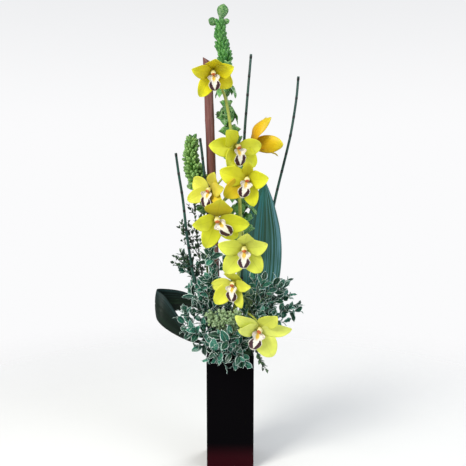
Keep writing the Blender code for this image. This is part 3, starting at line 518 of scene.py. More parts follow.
def sheetMesh(name, columns, rows, shape, finish, thickness, edgeShare=1.0):
    # a thin solid sheet on a UV grid; its margins keep a share of the full thickness
    grid = bmesh.new()
    layer = grid.loops.layers.uv.new("UVMap")
    corners = [[grid.verts.new(shape(2 * i / columns - 1, j / rows)) for i in range(columns + 1)]
               for j in range(rows + 1)]
    for j in range(rows):
        for i in range(columns):
            spots = ((i, j), (i + 1, j), (i + 1, j + 1), (i, j + 1))
            face = grid.faces.new([corners[v][u] for u, v in spots])
            face.smooth = True
            for loop, (u, v) in zip(face.loops, spots):
                loop[layer].uv = (u / columns, v / rows)
    sheet = formObject(name, grid, paint[finish])
    shell = sheet.modifiers.new("thickness", "SOLIDIFY")
    shell.thickness = thickness
    shell.offset = 0.0
    if edgeShare < 1.0:
        group = sheet.vertex_groups.new(name="thickness")
        for index in range(len(sheet.data.vertices)):
            j, i = divmod(index, columns + 1)
            group.add([index], 1.0 if min(i, columns - i, rows - j) > 0 else edgeShare, "REPLACE")
        shell.vertex_group = "thickness"
    return sheet


def turnedOut(piece, distance):
    # merges the doubles of a closed mesh, closer than a distance in mm, and turns its faces outwards
    shell = bmesh.new()
    shell.from_mesh(piece.data)
    bmesh.ops.remove_doubles(shell, verts=shell.verts, dist=distance * mm)
    bmesh.ops.dissolve_degenerate(shell, edges=shell.edges, dist=distance * mm)
    bmesh.ops.recalc_face_normals(shell, faces=shell.faces)
    shell.to_mesh(piece.data)
    shell.free()
    return piece


def arc(length, start, turn, along):
    # a strip that leaves its plane at the angle start and bends back by turn over its length
    if abs(turn) < 0.001:
        return length * along * math.cos(start), length * along * math.sin(start), start
    angle = start - turn * along
    radius = length / turn
    return radius * (math.sin(start) - math.sin(angle)), radius * (math.cos(angle) - math.cos(start)), angle


# One growth tree for all that follows a stem: the stem itself, and blades set round it in turn

growthInputs = {
    "Collection": {"Blades": None},
    "Float": {"Spacing": 0.01, "From": 0.0, "To": 1.0, "Turn": 2.4, "Turn Variation": 0.3, "Lean": 0.9,
              "Tip Lean": 0.5, "Lean Variation": 0.2, "Size": 1.0, "Tip Size": 1.0, "Size Variation": 0.15,
              "Ridge Depth": 0.0},
    "Int": {"Count": 1, "Sides": 8, "Ridges": 0, "Seed": 1},
    "Material": {"Stem Material": None, "Blade Material": None},
}


def buildGrowthTree():
    tree = bpy.data.node_groups.new("growthOnStem", "GeometryNodeTree")
    for way in ("OUTPUT", "INPUT"):
        tree.interface.new_socket(name="Geometry", in_out=way, socket_type="NodeSocketGeometry")
    for kind, labels in growthInputs.items():
        for label, value in labels.items():
            socket = tree.interface.new_socket(name=label, in_out="INPUT", socket_type="NodeSocket" + kind)
            if value is not None:
                socket.default_value = value
    read = addNode(tree, "NodeGroupInput").node.outputs

    def geometry(kind, settings, **links):
        return addNode(tree, "GeometryNode" + kind, settings, links)

    def byChance(kind, low, high, number):
        # a random value from low to high for each blade
        inputs = {"FLOAT": (2, 3, 1), "INT": (4, 5, 2)}[kind]
        return addNode(tree, "FunctionNodeRandomValue", {"data_type": kind},
                       {inputs[0]: low, inputs[1]: high, "ID": index, "Seed": number}, inputs[2])

    def turned(rotation, axis, angle):
        step = addNode(tree, "FunctionNodeEulerToRotation", {},
                       {0: addNode(tree, "ShaderNodeCombineXYZ", {}, {axis: angle})})
        return addNode(tree, "FunctionNodeRotateRotation", {"rotation_space": "LOCAL"}, {0: rotation, 1: step})

    def towardsTip(label):
        grown = addNode(tree, "GeometryNodeInputNamedAttribute", {"data_type": "FLOAT"}, {"Name": "share"})
        return addNode(tree, "ShaderNodeMix", {"data_type": "FLOAT"},
                       {0: grown, 2: read[label], 3: read["Tip " + label]})

    share = addNode(tree, "GeometryNodeSplineParameter", output="Factor")
    path = geometry("StoreNamedAttribute", {"data_type": "FLOAT", "domain": "POINT"},
                    Geometry=read["Geometry"], Name="share", Value=share)
    # the stem: a round or ridged profile swept along the path at the path's own radius
    ring = geometry("CurvePrimitiveCircle", {"mode": "RADIUS"}, Resolution=read["Sides"], Radius=1.0)
    angle = calc(tree, "MULTIPLY", addNode(tree, "GeometryNodeSplineParameter", output="Factor"), math.tau)
    wave = calc(tree, "COSINE", calc(tree, "MULTIPLY", angle, read["Ridges"]))
    deep = calc(tree, "MULTIPLY_ADD", wave, read["Ridge Depth"], 1.0)
    ridged = addNode(tree, "ShaderNodeVectorMath", {"operation": "SCALE"},
                     {0: addNode(tree, "GeometryNodeInputPosition"), "Scale": deep})
    profile = geometry("SetPosition", {}, Geometry=ring, Position=ridged)
    stem = addNode(tree, "GeometryNodeCurveToMesh", {},
                   {"Curve": path, "Profile Curve": profile, "Scale": addNode(tree, "GeometryNodeInputRadius"),
                    "Fill Caps": True})
    stem = geometry("SetShadeSmooth", {}, Geometry=stem)
    stem = geometry("SetMaterial", {}, Geometry=stem, Material=read["Stem Material"])
    # the blades: whorls of a given count, each whorl turned on from the one below
    trimmed = addNode(tree, "GeometryNodeTrimCurve", {"mode": "FACTOR"}, {0: path, 2: read["From"], 3: read["To"]})
    dots = geometry("CurveToPoints", {"mode": "LENGTH"}, Curve=trimmed, Length=read["Spacing"])
    copies = geometry("DuplicateElements", {"domain": "POINT"}, Geometry=dots, Amount=read["Count"])
    index = addNode(tree, "GeometryNodeInputIndex")
    whorl = calc(tree, "FLOOR", calc(tree, "DIVIDE", index, read["Count"]))
    part = calc(tree, "DIVIDE", copies.node.outputs["Duplicate Index"], read["Count"])
    chance = {label: byChance("FLOAT", -1.0, 1.0, calc(tree, "ADD", read["Seed"], 101.0 * offset))
              for offset, label in enumerate(("Turn", "Lean", "Size", "tone"))}
    turn = calc(tree, "MULTIPLY_ADD", part, math.tau, calc(tree, "MULTIPLY", whorl, read["Turn"]))
    turn = calc(tree, "MULTIPLY_ADD", chance["Turn"], read["Turn Variation"], turn)
    lean = calc(tree, "MULTIPLY_ADD", chance["Lean"], read["Lean Variation"], towardsTip("Lean"))
    swell = calc(tree, "MULTIPLY_ADD", chance["Size"], read["Size Variation"], 1.0)
    size = calc(tree, "MULTIPLY", towardsTip("Size"), swell)
    aimed = turned(turned(dots.node.outputs["Rotation"], "Z", turn), "X", lean)
    variants = addNode(tree, "GeometryNodeCollectionInfo", {"transform_space": "ORIGINAL"},
                       {"Collection": read["Blades"], "Separate Children": True, "Reset Children": True})
    # the index wraps round, so twelve numbers give each of one, two, three or four variants its share
    blades = addNode(tree, "GeometryNodeInstanceOnPoints", {},
                     {"Points": copies, "Instance": variants, "Pick Instance": True,
                      "Instance Index": byChance("INT", 0, 11, read["Seed"]), "Rotation": aimed, "Scale": size})
    blades = geometry("StoreNamedAttribute", {"data_type": "FLOAT", "domain": "INSTANCE"}, Geometry=blades,
                      Name="tone", Value=calc(tree, "MULTIPLY_ADD", chance["tone"], 0.5, 0.5))
    blades = geometry("RealizeInstances", {}, Geometry=blades)
    blades = geometry("SetMaterial", {}, Geometry=blades, Material=read["Blade Material"])
    addNode(tree, "NodeGroupOutput", {}, {0: geometry("JoinGeometry", {}, Geometry=[stem, blades])})
    return tree


growthTree = buildGrowthTree()


def grow(name, lines, look, finishes, blades, seed, slotName, *nodes):
    # runs the growth tree over stems given as (points, radius at the root, radius at the tip)
    curve = bpy.data.curves.new(name, "CURVE")
    curve.dimensions = "3D"
    for points, thick, thin in lines:
        spline = curve.splines.new("POLY")
        spline.points.add(len(points) - 1)
        for index, point in enumerate(points):
            spline.points[index].co = (*point, 1.0)
            spline.points[index].radius = lerp(thick, thin, index / (len(points) - 1))
    stem = newObject(name, curve)
    growth = stem.modifiers.new("growth", "NODES")
    growth.node_group = growthTree
    values = {"Blades": blades, "Stem Material": paint[finishes[0]], "Blade Material": paint[finishes[1]],
              "Seed": seed, **look}
    for socket in growthTree.interface.items_tree:
        if socket.in_out == "INPUT" and socket.name in values:
            growth[socket.identifier] = values[socket.name]
    return madePiece(madePlain(stem, name), slotName, *nodes)


def growBare(name, lines, sides, finish, slotName, node):
    # stems without any blades
    bare = bpy.data.collections.new("bare")
    stems = grow(name, lines, {"From": 0.0, "To": 0.01, "Sides": sides, "Spacing": 1.0}, (finish, finish), bare, 1,
                 slotName, node)
    removeCollection(bare)
    return stems


def bladeCollection(name, sheets):
    # the variants that a growth picks from, kept out of the render
    group = bpy.data.collections.new(name)
    for number, sheet in enumerate(sheets):
        plain = madePlain(sheet, name + str(number))
        bpy.context.scene.collection.objects.unlink(plain)
        group.objects.link(plain)
    return group


def removeCollection(group):
    for item in list(group.objects):
        bpy.data.objects.remove(item)
    bpy.data.collections.remove(group)


# Vase and foam

vaseLook = {"width": 100 * mm, "height": 250 * mm, "wall": 5 * mm, "base": 12 * mm, "edgeRound": 1.4 * mm,
            "roundSteps": 3}


def buildVase():
    look = vaseLook
    half, inside = look["width"] / 2, look["width"] / 2 - look["wall"]
    shell = bmesh.new()
    # outer side from the bottom up, over the rim and down the inner side to the floor inside
    levels = [(half, 0.0), (half, look["height"]), (inside, look["height"]), (inside, look["base"])]
    rings = [[shell.verts.new((x * size, y * size, height)) for x, y in ((-1, -1), (1, -1), (1, 1), (-1, 1))]
             for size, height in levels]
    joinRings(shell, rings)
    shell.faces.new(reversed(rings[0])).smooth = True
    shell.faces.new(rings[-1]).smooth = True
    bmesh.ops.recalc_face_normals(shell, faces=shell.faces)
    vase = formObject("vaseGlass", shell, paint["glass"])
    rounding = vase.modifiers.new("edges", "BEVEL")
    rounding.width = look["edgeRound"]
    rounding.segments = look["roundSteps"]
    rounding.limit_method = "ANGLE"
    rounding.harden_normals = True
    madePiece(madePlain(vase, "vaseGlass"), "black_glass", "vase")


buildVase()
foam = frame["nodes"]["floral_foam"]
foam.data.materials.clear()
foam.data.materials.append(paint["foam"])
print("vase and foam ready")


# Cane: a stout, slightly swelling stick with a slanting cut at its top; all in mm

caneLook = {"foot": (-29, 14), "top": (-47, 14, 872), "radius": 10.0, "slant": 12.0, "slantRows": 30, "sides": 28,
            "rise": 5.0, "nodesAt": (398, 561, 742), "nodeSwell": 0.35, "nodeLength": 3.5, "uneven": 0.35,
            "unevenAround": 1.2, "unevenLength": 60}


def buildCane():
    look = caneLook
    low, bend = (Vector((*look["foot"], stemFoot[end])) for end in ("low", "high"))
    top = Vector(look["top"])
    rows = []
    for start, stop in ((low, bend), (bend, top)):
        steps = max(2, int((stop - start).length / look["rise"]))
        rows += [start.lerp(stop, step / steps) for step in range(steps)]
    rows.append(top)
    stick = bmesh.new()
    rings = []
    for row, centre in enumerate(rows):
        swell = sum(look["nodeSwell"] * hump(centre.z, height, look["nodeLength"]) for height in look["nodesAt"])
        cutShare = smoothstep(len(rows) - look["slantRows"], len(rows) - 1, row)

        def place(angle, side):
            spot = (look["unevenAround"] * math.cos(angle), look["unevenAround"] * math.sin(angle),
                    centre.z / look["unevenLength"])
            radius = look["radius"] - look["uneven"] + swell + look["uneven"] * noise.noise(Vector(spot))
            out = radius * math.cos(angle)
            cut = look["slant"] * (out + look["radius"]) / (2 * look["radius"])
            return Vector((centre.x + out, centre.y + radius * math.sin(angle), centre.z - cut * cutShare)) * mm
        rings.append(ringOf(stick, look["sides"], place))
    joinRings(stick, rings)
    stick.faces.new(list(reversed(rings[0]))).material_index = 1
    stick.faces.new(rings[-1]).material_index = 1
    madePiece(formObject("caneStick", stick, paint["cane"], paint["pith"]), "cane_bark", "cane")


buildCane()
print("cane ready")


# Horsetails: fluted stems with a dark toothed sheath at every joint

horsetailLook = {"Spacing": 38 * mm, "Count": 1, "Turn": 0.4, "Turn Variation": 0.1, "Lean": 0.0, "Tip Lean": 0.0,
                 "Lean Variation": 0.0, "Size": 1.0, "Tip Size": 0.82, "Size Variation": 0.03, "Sides": 36,
                 "Ridges": 12, "Ridge Depth": 0.035, "From": 0.02, "To": 0.99}
horsetailStem = {"rootRadius": 3.2 * mm, "tipRadius": 2.5 * mm}
# the rings of the sheath are shares of its height and of the stem's radius
sheathLook = {"height": 5.0 * mm, "rings": [(-0.5, 1.02), (0.0, 1.09), (0.55, 1.10), (1.0, 1.05)], "teeth": 12,
              "notch": 0.62, "wall": 0.25 * mm}
horsetailRoutes = [
    ((19, 16), [(26, 26, 420), (28, 28, 600), (30, 29, 701), (36, 30, 785), (44, 30, 880)]),
    ((38, 38), [(47, 60, 330), (64, 78, 400), (86, 78, 500), (98, 68, 566), (106, 64, 603), (124, 58, 680),
                (133, 56, 724), (142, 52, 787), (146, 50, 836)]),
    ((-38, -22), [(-66, -8, 372), (-80, -2, 420), (-92, 0, 500), (-100, 0, 575), (-108, 0, 628), (-114, 0, 674)]),
    ((-38, 2), [(-42, 0, 420), (-48, -2, 560), (-58, -2, 665), (-63, -2, 705)]),
]


def sheathMesh():
    # a collar that hugs the stem, its upper rim cut into short teeth
    look = sheathLook
    collar = bmesh.new()
    rings = []
    for height, width in look["rings"]:
        radius = horsetailStem["rootRadius"] * width

        def place(angle, side):
            notched = height == 1.0 and side % 2
            return (radius * math.cos(angle), radius * math.sin(angle),
                    height * look["height"] * (look["notch"] if notched else 1.0))
        rings.append(ringOf(collar, 2 * look["teeth"], place))
    joinRings(collar, rings)
    sheath = formObject("sheath", collar)
    sheath.modifiers.new("wall", "SOLIDIFY").thickness = look["wall"]
    return sheath


def buildHorsetails():
    sheaths = bladeCollection("sheaths", [sheathMesh()])
    for number, (foot, route) in enumerate(horsetailRoutes, 1):
        line = (plantedPath(foot, route, 6), horsetailStem["rootRadius"], horsetailStem["tipRadius"])
        grow("horsetailStem" + str(number), [line], horsetailLook, ("horsetail", "sheath"), sheaths, number,
             "horsetail_green", "horsetail_" + str(number))
    removeCollection(sheaths)


buildHorsetails()
print("horsetails ready")


# Orchid: nine blooms of five tepals, a lip and a column, on one spike; all in mm and degrees

bloomLook = {
    "tepalLength": 53.0, "petalWidth": 37.0, "sepalWidth": 36.0, "tepalRoot": 3.0, "tepalThickness": 0.8,
    "edgeShare": 0.4, "columns": 12, "rows": 22, "petalSickle": 0.10, "widthHalfOpen": 0.69,
    "rootWidth": 0.07, "widest": 0.90, "fullness": 0.66, "trough": 0.34, "groove": 0.5, "grooveWidth": 0.13,
    "edgeWave": 1.0, "waves": 1.6, "waveShift": 1.4, "tipDrop": 1.6, "tipFrom": 0.86, "doubles": 0.02,
    "goldRange": (0.8, 1.15), "paleRange": (0.6, 1.3),
}
receptacle = [(0, -3.0), (3.0, -3.0), (4.4, -1.2), (4.8, 1.0), (4.2, 3.2), (2.4, 4.6), (0, 5.0)]
columnLook = {
    "profile": [(0, 1.0), (3.4, 1.6), (3.8, 5.0), (4.4, 9.0), (5.2, 12.0), (4.6, 14.2), (0, 15.0)], "squash": 0.85,
    "length": 15, "arch": 1.6, "sides": 14,
    "cap": [(0, 0.0), (3.4, 0.4), (4.5, 1.6), (3.9, 3.0), (1.9, 3.9), (0, 4.1)], "capSquash": 0.72,
    "capAt": (0, -1.0, 12.4), "capTilt": 14,
}
lipLook = {
    "length": 36.0, "root": (0.0, -5.0, 6.2), "claw": 3.0, "sideLobes": 14.5, "sideAt": 0.25, "sideSpan": 0.17,
    "middleLobe": 11.5, "middleAt": 0.62, "middleFullness": 0.62, "sideRoll": 74, "middleRoll": -24,
    "thickness": 0.7, "edgeShare": 0.4, "columns": 24, "rows": 26, "ruffle": 1.1, "ruffles": 27, "keel": 1.4,
    "keelAt": 0.17, "keelWidth": 0.07, "tilt": 30, "arch": 85, "tiltHalfOpen": 6, "archHalfOpen": 14,
    "sizeHalfOpen": 0.42, "doubles": 0.01,
    # stretches of the lip's length: side lobes end, roll changes, ruffle and keels begin, keels end
    "sidesEnd": (0.40, 0.80), "unrolls": (0.28, 0.74), "ruffleStarts": (0.5, 0.75), "keelStarts": (0.08, 0.2),
    "keelEnds": (0.40, 0.55),
}
# each bloom: centre; yaw, pitch and roll; size, share of the spike, shares of gold and of a pale tint that is
# partly paler colour and partly painted whitish sheen, turn of the lip; then its dorsal sepal, right and left
# petals and right and left sepals, as turn, cup, curl, length and width
blooms = [
    ((-34, -54, 837), (6, -26, -2), 1.00, 1.00, 0.30, 0.00, -5,
     [(5, 30, -35, 1.00, 1.00), (75, 40, 25, 0.90, 0.90), (-80, 40, 25, 0.95, 0.80),
      (130, 20, 25, 0.95, 1.00), (-150, 25, 25, 1.10, 0.90)]),
    ((12, -58, 689), (25, -8, -15), 1.08, 0.70, 0.08, 0.10, 10,
     [(-30, 30, 0, 0.95, 0.95), (110, 20, 25, 0.95, 0.90), (-80, 10, 25, 1.05, 1.00),
      (150, 25, 25, 1.05, 1.00), (-140, 25, 25, 0.85, 0.90)]),
    ((44, -4, 691), (95, 10, 38), 1.35, 0.60, 0.68, 0.00, 0,
     [(-15, 10, -65, 1.05, 0.85), (70, 65, 5, 0.95, 1.00), (-80, -5, -90, 1.10, 1.10),
      (140, 65, 5, 0.90, 1.00), (-140, 60, 5, 1.05, 1.15)]),
    ((34, -80, 626), (0, -16, -4), 1.04, 0.62, 0.12, 0.05, 20,
     [(5, 30, -20, 1.00, 0.60), (90, 45, 25, 0.90, 1.00), (-75, 15, 25, 1.05, 1.10),
      (170, 25, 25, 1.10, 0.85), (-125, 20, 25, 1.10, 1.05)]),
    ((-39, -58, 602), (-25, -8, 20), 1.02, 0.55, 0.15, 0.20, -10,
     [(10, 30, 0, 0.95, 0.70), (65, 45, 25, 0.95, 0.80), (-95, 0, 25, 0.90, 1.00),
      (100, 45, 25, 0.90, 0.80), (-135, 25, 25, 1.05, 0.80)]),
    ((-26, -98, 548), (4, -18, -4), 1.14, 0.46, 0.06, 0.08, -40,
     [(10, 20, -25, 1.00, 1.35), (110, 20, 25, 1.10, 0.95), (-95, 45, 25, 0.95, 0.85),
      (140, 20, 25, 1.00, 0.90), (-155, 25, 25, 1.10, 0.95)]),
    ((28, -116, 492), (0, -18, 2), 1.08, 0.34, 0.00, 0.35, 0,
     [(5, 30, -20, 1.00, 0.90), (75, 35, 25, 0.90, 0.90), (-85, 25, 25, 0.95, 0.90),
      (145, 25, 25, 1.10, 1.05), (-145, 25, 25, 1.15, 1.10)]),
    ((8, -66, 411), (-18, -10, 2), 1.02, 0.22, 0.08, 0.25, 0,
     [(10, 35, -20, 1.00, 1.05), (90, 45, 25, 0.95, 0.70), (-105, 20, 25, 0.90, 0.85),
      (160, 25, 25, 1.05, 0.70), (-140, 25, 25, 1.15, 0.95)]),
    ((58, -114, 328), (2, -10, 45), 1.14, 0.08, 0.00, 0.45, -25,
     [(-5, 30, -10, 1.00, 0.90), (50, 20, 25, 1.10, 0.65), (-105, 30, 25, 1.05, 0.70),
      (110, 25, 25, 1.10, 1.10), (-125, 45, 25, 0.85, 0.70)]),
]
halfOpenBloom = 3
# tepals that are more golden than the rest of their bloom, and the lift of each kind of tepal at its root
goldenTepals = {4: {4: 0.62, 0: 0.25}, 5: {0: 0.30, 1: 0.35, 3: 0.45}, 6: {0: 0.30}}
tepalKinds = [("sepal", 0.0), ("petal", 2.8), ("petal", 2.8), ("sepal", 0.0), ("sepal", 1.3)]
spikeLook = {"foot": (2, -6), "rootRadius": 4.2 * mm, "tipRadius": 2.9 * mm, "stalkRoot": 1.6 * mm,
             "stalkTip": 2.6 * mm, "backOfBloom": 3.0, "behind": 0.35, "rise": 0.25, "lastBend": 0.3}
spikeRoute = [(12, -18, 364), (21, -24, 473), (20, -24, 578), (13, -22, 650), (2, -20, 721),
              (-8, -20, 780), (-22, -30, 818)]


def rotation(degrees, axis):
    return Matrix.Rotation(math.radians(degrees), 4, axis)


def bloomPlace(centre, face, size):
    yaw, pitch, roll = face
    facing = rotation(yaw, "Z") @ rotation(-pitch, "X") @ rotation(90, "X") @ rotation(-roll, "Z")
    return Matrix.Translation(Vector(centre) * mm) @ facing @ Matrix.Scale(size * mm, 4)


def tepalShape(length, width, cup, curl, sickle, rise, phase):
    look = bloomLook

    def shape(across, along):
        half = 0.5 * width * (look["rootWidth"] * (1 - along) ** 4
                              + math.sin(math.pi * along ** look["widest"]) ** look["fullness"])
        out, lift, angle = arc(length - look["tepalRoot"], math.radians(cup), math.radians(curl), along)
        raised = look["trough"] * half * across * across * along
        # a shallow groove down the midrib, gently waved margins and a tip that turns back a little
        raised -= look["groove"] * hump(across, 0, look["grooveWidth"]) * (1 - along)
        shift = look["waveShift"] if across > 0 else 0.0
        wave = math.sin(math.tau * look["waves"] * along + phase + shift)
        raised += look["edgeWave"] * wave * abs(across) ** 3 * math.sin(math.pi * along)
        raised -= look["tipDrop"] * smoothstep(look["tipFrom"], 1.0, along)
        return Vector((half * across + sickle * length * along * along,
                       look["tepalRoot"] + out - raised * math.sin(angle), rise + lift + raised * math.cos(angle)))
    return shape


def lipShape(start, arch, phase):
    look = lipLook
    radius = look["length"] / arch

    def shape(across, along):
        angle = start + arch * along
        middle = Vector(look["root"]) + radius * Vector((0, math.cos(angle) - math.cos(start),
                                                         math.sin(angle) - math.sin(start)))
        sideLobes = look["sideLobes"] * hump(along, look["sideAt"], look["sideSpan"])
        reach = (along - look["middleAt"]) / (1 - look["middleAt"])
        middleLobe = look["middleLobe"] * max(0.0, 1 - reach ** 2) ** look["middleFullness"]
        half = max(sideLobes * (1 - smoothstep(*look["sidesEnd"], along)), middleLobe)
        half += look["claw"] * (1 - along) ** 2
        roll = math.radians(lerp(look["sideRoll"], look["middleRoll"], smoothstep(*look["unrolls"], along)))
        sideways = half * math.sin(roll * across) / roll
        raised = half * (1 - math.cos(roll * across)) / roll
        # the rim of the middle lobe is ruffled, and two keels run down the throat
        ruffles = abs(across) ** 4 * math.sin(look["ruffles"] * along + phase)
        raised += look["ruffle"] * smoothstep(*look["ruffleStarts"], along) * ruffles
        keels = hump(abs(across), look["keelAt"], look["keelWidth"]) * smoothstep(*look["keelStarts"], along)
        raised += look["keel"] * keels * (1 - smoothstep(*look["keelEnds"], along))
        return middle + Vector((sideways, raised * math.cos(angle), raised * math.sin(angle)))
    return shape


def tepalParts(number, place, gold, pale, tepals, chance):
    look = bloomLook
    for index, (turn, cup, curl, longer, wider) in enumerate(tepals):
        kind, rise = tepalKinds[index]
        width = wider * look[kind + "Width"] * (look["widthHalfOpen"] if number == halfOpenBloom else 1.0)
        sickle = math.copysign(look["petalSickle"], -turn) if kind == "petal" else 0.0
        shape = tepalShape(longer * look["tepalLength"], width, cup, curl, sickle, rise, chance.uniform(0, math.tau))
        sheet = sheetMesh("tepal", look["columns"], look["rows"], shape, "petal", look["tepalThickness"],
                          look["edgeShare"])
        part = turnedOut(madePlain(sheet, "tepal", place @ rotation(-turn, "Z")), look["doubles"])
        share = goldenTepals.get(number, {}).get(index, gold) * chance.uniform(*look["goldRange"])
        # the pale share tints a bloom paler and whitish: partly paler colour, partly painted sheen
        for label, value in (("gold", min(1.0, share)), ("pale", pale * chance.uniform(*look["paleRange"]))):
            tint = part.data.attributes.new(label, "FLOAT", "POINT")
            tint.data.foreach_set("value", [value] * len(part.data.vertices))
        yield part
    yield madePlain(roundedMesh("receptacle", receptacle, 16, "petal"), "receptacle", place)


def columnParts(place):
    # the column arches forward over the lip and ends in its cap
    look = columnLook
    post = roundedMesh("column", look["profile"], look["sides"], "column", look["squash"])
    for vertex in post.data.vertices:
        vertex.co.y += look["arch"] * math.sin(math.pi * min(1.0, vertex.co.z / look["length"]))
    cap = roundedMesh("cap", look["cap"], look["sides"], "cap", look["capSquash"])
    capPlace = place @ Matrix.Translation(look["capAt"]) @ rotation(look["capTilt"], "X")
    return [madePlain(post, "column", place), madePlain(cap, "cap", capPlace)]


def buildBloom(number, place, gold, pale, lipTurn, tepals):
    name, node = "bloom" + str(number), "bloom_" + str(number)
    chance = random.Random(number)
    skin = ("orchid_yellow_green", node + "_tepals")
    madePiece(joined(list(tepalParts(number, place, gold, pale, tepals, chance)), name + "Tepals"), *skin)
    madePiece(joined(columnParts(place), name + "Column"), *skin)
    look = lipLook
    ending, lipSize = ("HalfOpen", look["sizeHalfOpen"]) if number == halfOpenBloom else ("", 1.0)
    shape = lipShape(math.radians(look["tilt" + ending]), math.radians(look["arch" + ending]),
                     chance.uniform(0, math.tau))
    lip = sheetMesh("lip", look["columns"], look["rows"], shape, "lip", look["thickness"], look["edgeShare"])
    root = Vector(look["root"])
    lipPlace = (place @ rotation(-lipTurn, "Z") @ Matrix.Translation(root) @ Matrix.Scale(lipSize, 4)
                @ Matrix.Translation(-root))
    madePiece(turnedOut(madePlain(lip, name + "Lip", lipPlace), look["doubles"]), "orchid_lip_cream", node + "_lip")


def buildSpike():
    look = spikeLook
    lines = [(plantedPath(look["foot"], spikeRoute, 8), look["rootRadius"], look["tipRadius"])]
    free = plantedPath(look["foot"], spikeRoute, 2)[1:]
    for bloom in blooms:
        place, share = bloomPlace(*bloom[:3]), bloom[3]
        back = (place.to_3x3() @ Vector((0, 0, -1))).normalized()
        end = place @ Vector((0, 0, -look["backOfBloom"]))
        index, rest = splitShare(share, len(free))
        start = free[index].lerp(free[index + 1], rest)
        reach = (end - start).length
        side = end + back * look["behind"] * reach
        rise = start + Vector((0, 0, look["rise"] * reach)) if share < 1 else start.lerp(side, look["lastBend"])
        route = [start, rise.lerp(side, 0.5), side.lerp(end, 0.35), end]
        lines.append((smoothPath(route, 6), look["stalkRoot"], look["stalkTip"]))
    growBare("orchidSpike", lines, 12, "flowerStem", "spike_green", "orchid_spike")


for bloomNumber, bloomPlan in enumerate(blooms, 1):
    buildBloom(bloomNumber, bloomPlace(*bloomPlan[:3]), *bloomPlan[4:])
buildSpike()
print("orchid ready")


# Bells of Ireland: whorls of papery cups, narrow and close towards the tip; all in mm

def bellMesh(length, mouth, flare):
    # an open cup with a softly lobed rim, on a UV grid round its axis
    look = bellLook

    def shape(across, along):
        angle = math.pi * across
        lobed = math.cos(look["lobes"] * angle)
        radius = mouth * lerp(look["root"], 1.0, along ** flare) * (1 + look["lobeWidth"] * along ** 3 * lobed)
        height = length * (along - look["lobeHeight"] * along ** 4 * (1 - lobed))
        return Vector((radius * math.cos(angle), radius * math.sin(angle), height)) * mm
    return sheetMesh("bell", look["sides"], look["rows"], shape, "calyx", look["thickness"] * mm)


def leafMesh(length, width, curl, fold, wave, columns, rows, finish, blunt=0.9):
    # a leaf along Z with its upper face towards Y; it folds along its midrib and waves at its margin
    look = leafLook

    def shape(across, along):
        half = (look["rootHalf"] * (1 - along)
                + 0.5 * width * math.sin(math.pi * along ** blunt) ** look["fullness"])
        out, lift, angle = arc(length, 0.5 * curl, curl, along)
        waved = wave * math.sin(math.tau * look["waves"] * along + 2 * across) * across * across
        raised = fold * half * abs(across) + waved
        return Vector((half * across, lift + raised * math.cos(angle), out - raised * math.sin(angle))) * mm
    return sheetMesh("leaf", columns, rows, shape, finish, look["thickness"] * mm)


leafLook = {"rootHalf": 0.4, "fullness": 0.9, "waves": 2.2, "thickness": 0.4}
bellLook = {"lobes": 5, "root": 0.10, "lobeWidth": 0.06, "lobeHeight": 0.05, "sides": 15, "rows": 5, "thickness": 0.5}
# foot, route, radius at the root and at the tip, share of the length that is kept, skin of the buds
bellLines = {
    "main": ((-4, 26), [(4, 22, 400), (22, 18, 500), (24, 18, 551), (14, 24, 637), (4, 30, 701), (-5, 30, 743),
                        (-8, 30, 790), (-9, 30, 862), (-18, 30, 905), (-21, 30, 944)], 3.2, 2.2, 1.0, "bud"),
    "left": ((-40, 26), [(-50, 26, 420), (-58, 24, 560), (-72, 21, 622), (-83, 20, 660), (-80, 20, 700),
                         (-66, 20, 726)], 2.6, 1.4, 0.955, "lightBud"),
}
# stalk, kind, share of the stalk from and to, spacing, bells a whorl, leans, sizes
bellStretches = [
    ("main", "open", 0.36, 0.50, 20, 6, 0.75, 0.65, 1.0, 1.0),
    ("main", "hanging", 0.495, 0.535, 22, 6, 2.30, 2.10, 0.95, 0.90),
    ("main", "open", 0.56, 0.72, 24, 6, 0.60, 0.52, 0.95, 0.95),
    ("main", "open", 0.715, 0.760, 24, 5, 0.50, 0.45, 0.70, 0.70),
    ("main", "hanging", 0.782, 0.802, 12, 6, 2.72, 2.50, 1.0, 0.95),
    ("main", "open", 0.795, 0.895, 22, 5, 0.45, 0.40, 0.75, 0.75),
    ("main", "hanging", 0.838, 0.866, 18, 5, 2.60, 2.50, 0.85, 0.80),
    ("main", "young", 0.878, 0.985, 6.0, 8, 0.66, 0.48, 1.12, 1.02),
    ("left", "open", 0.66, 0.80, 17, 5, 0.60, 0.55, 0.85, 0.75),
    ("left", "young", 0.78, 0.985, 5.0, 9, 1.2, 0.75, 1.22, 0.90),
]
whorlLook = {"Turn Variation": 0.20, "Lean Variation": 0.14, "Size Variation": 0.14, "Sides": 8}
# length, mouth and flare of a cup; length, width, curl, fold and wave of the leaves among them
openBells = [(38.0, 9.5, 0.80), (33.0, 10.5, 0.95)]
bellLeaves = [(36, 19, -0.35, 0.28, 1.0), (31, 17, -0.2, 0.32, 1.0)]
hangingLeaves = [(50, 22, 0.35, 0.35, 1.2), (44, 20, 0.2, 0.40, 1.2)]
hangingBlunt = 1.25
# the paths of the whorls hide inside the stalk, at this share of its radius
hiddenShare = 0.9
budProfile = [(0.0, 0.0), (0.8, 0.6), (2.0, 6.0), (2.9, 12.0), (3.1, 17.0), (2.3, 20.5), (0.0, 22.0)]
# direction, length and width of the bracts on the tip, and how low down they are widest
bellCrowns = {
    "main": [((0.20, -0.10, 1.0), 41, 24, 1.8), ((-1.0, -0.35, 0.25), 27, 17, 1.4),
             ((0.95, -0.35, 0.30), 22, 12, 1.4)],
    "left": [((0.5, -0.3, 0.8), 17, 9, 0.8), ((-0.5, -0.3, 0.8), 15, 8, 0.8)],
}

# curl, fold and wave of those bracts, and how deep they sit in the tip
bractBends = (0.5, 0.30, 0.6)
bractSink = 1.5


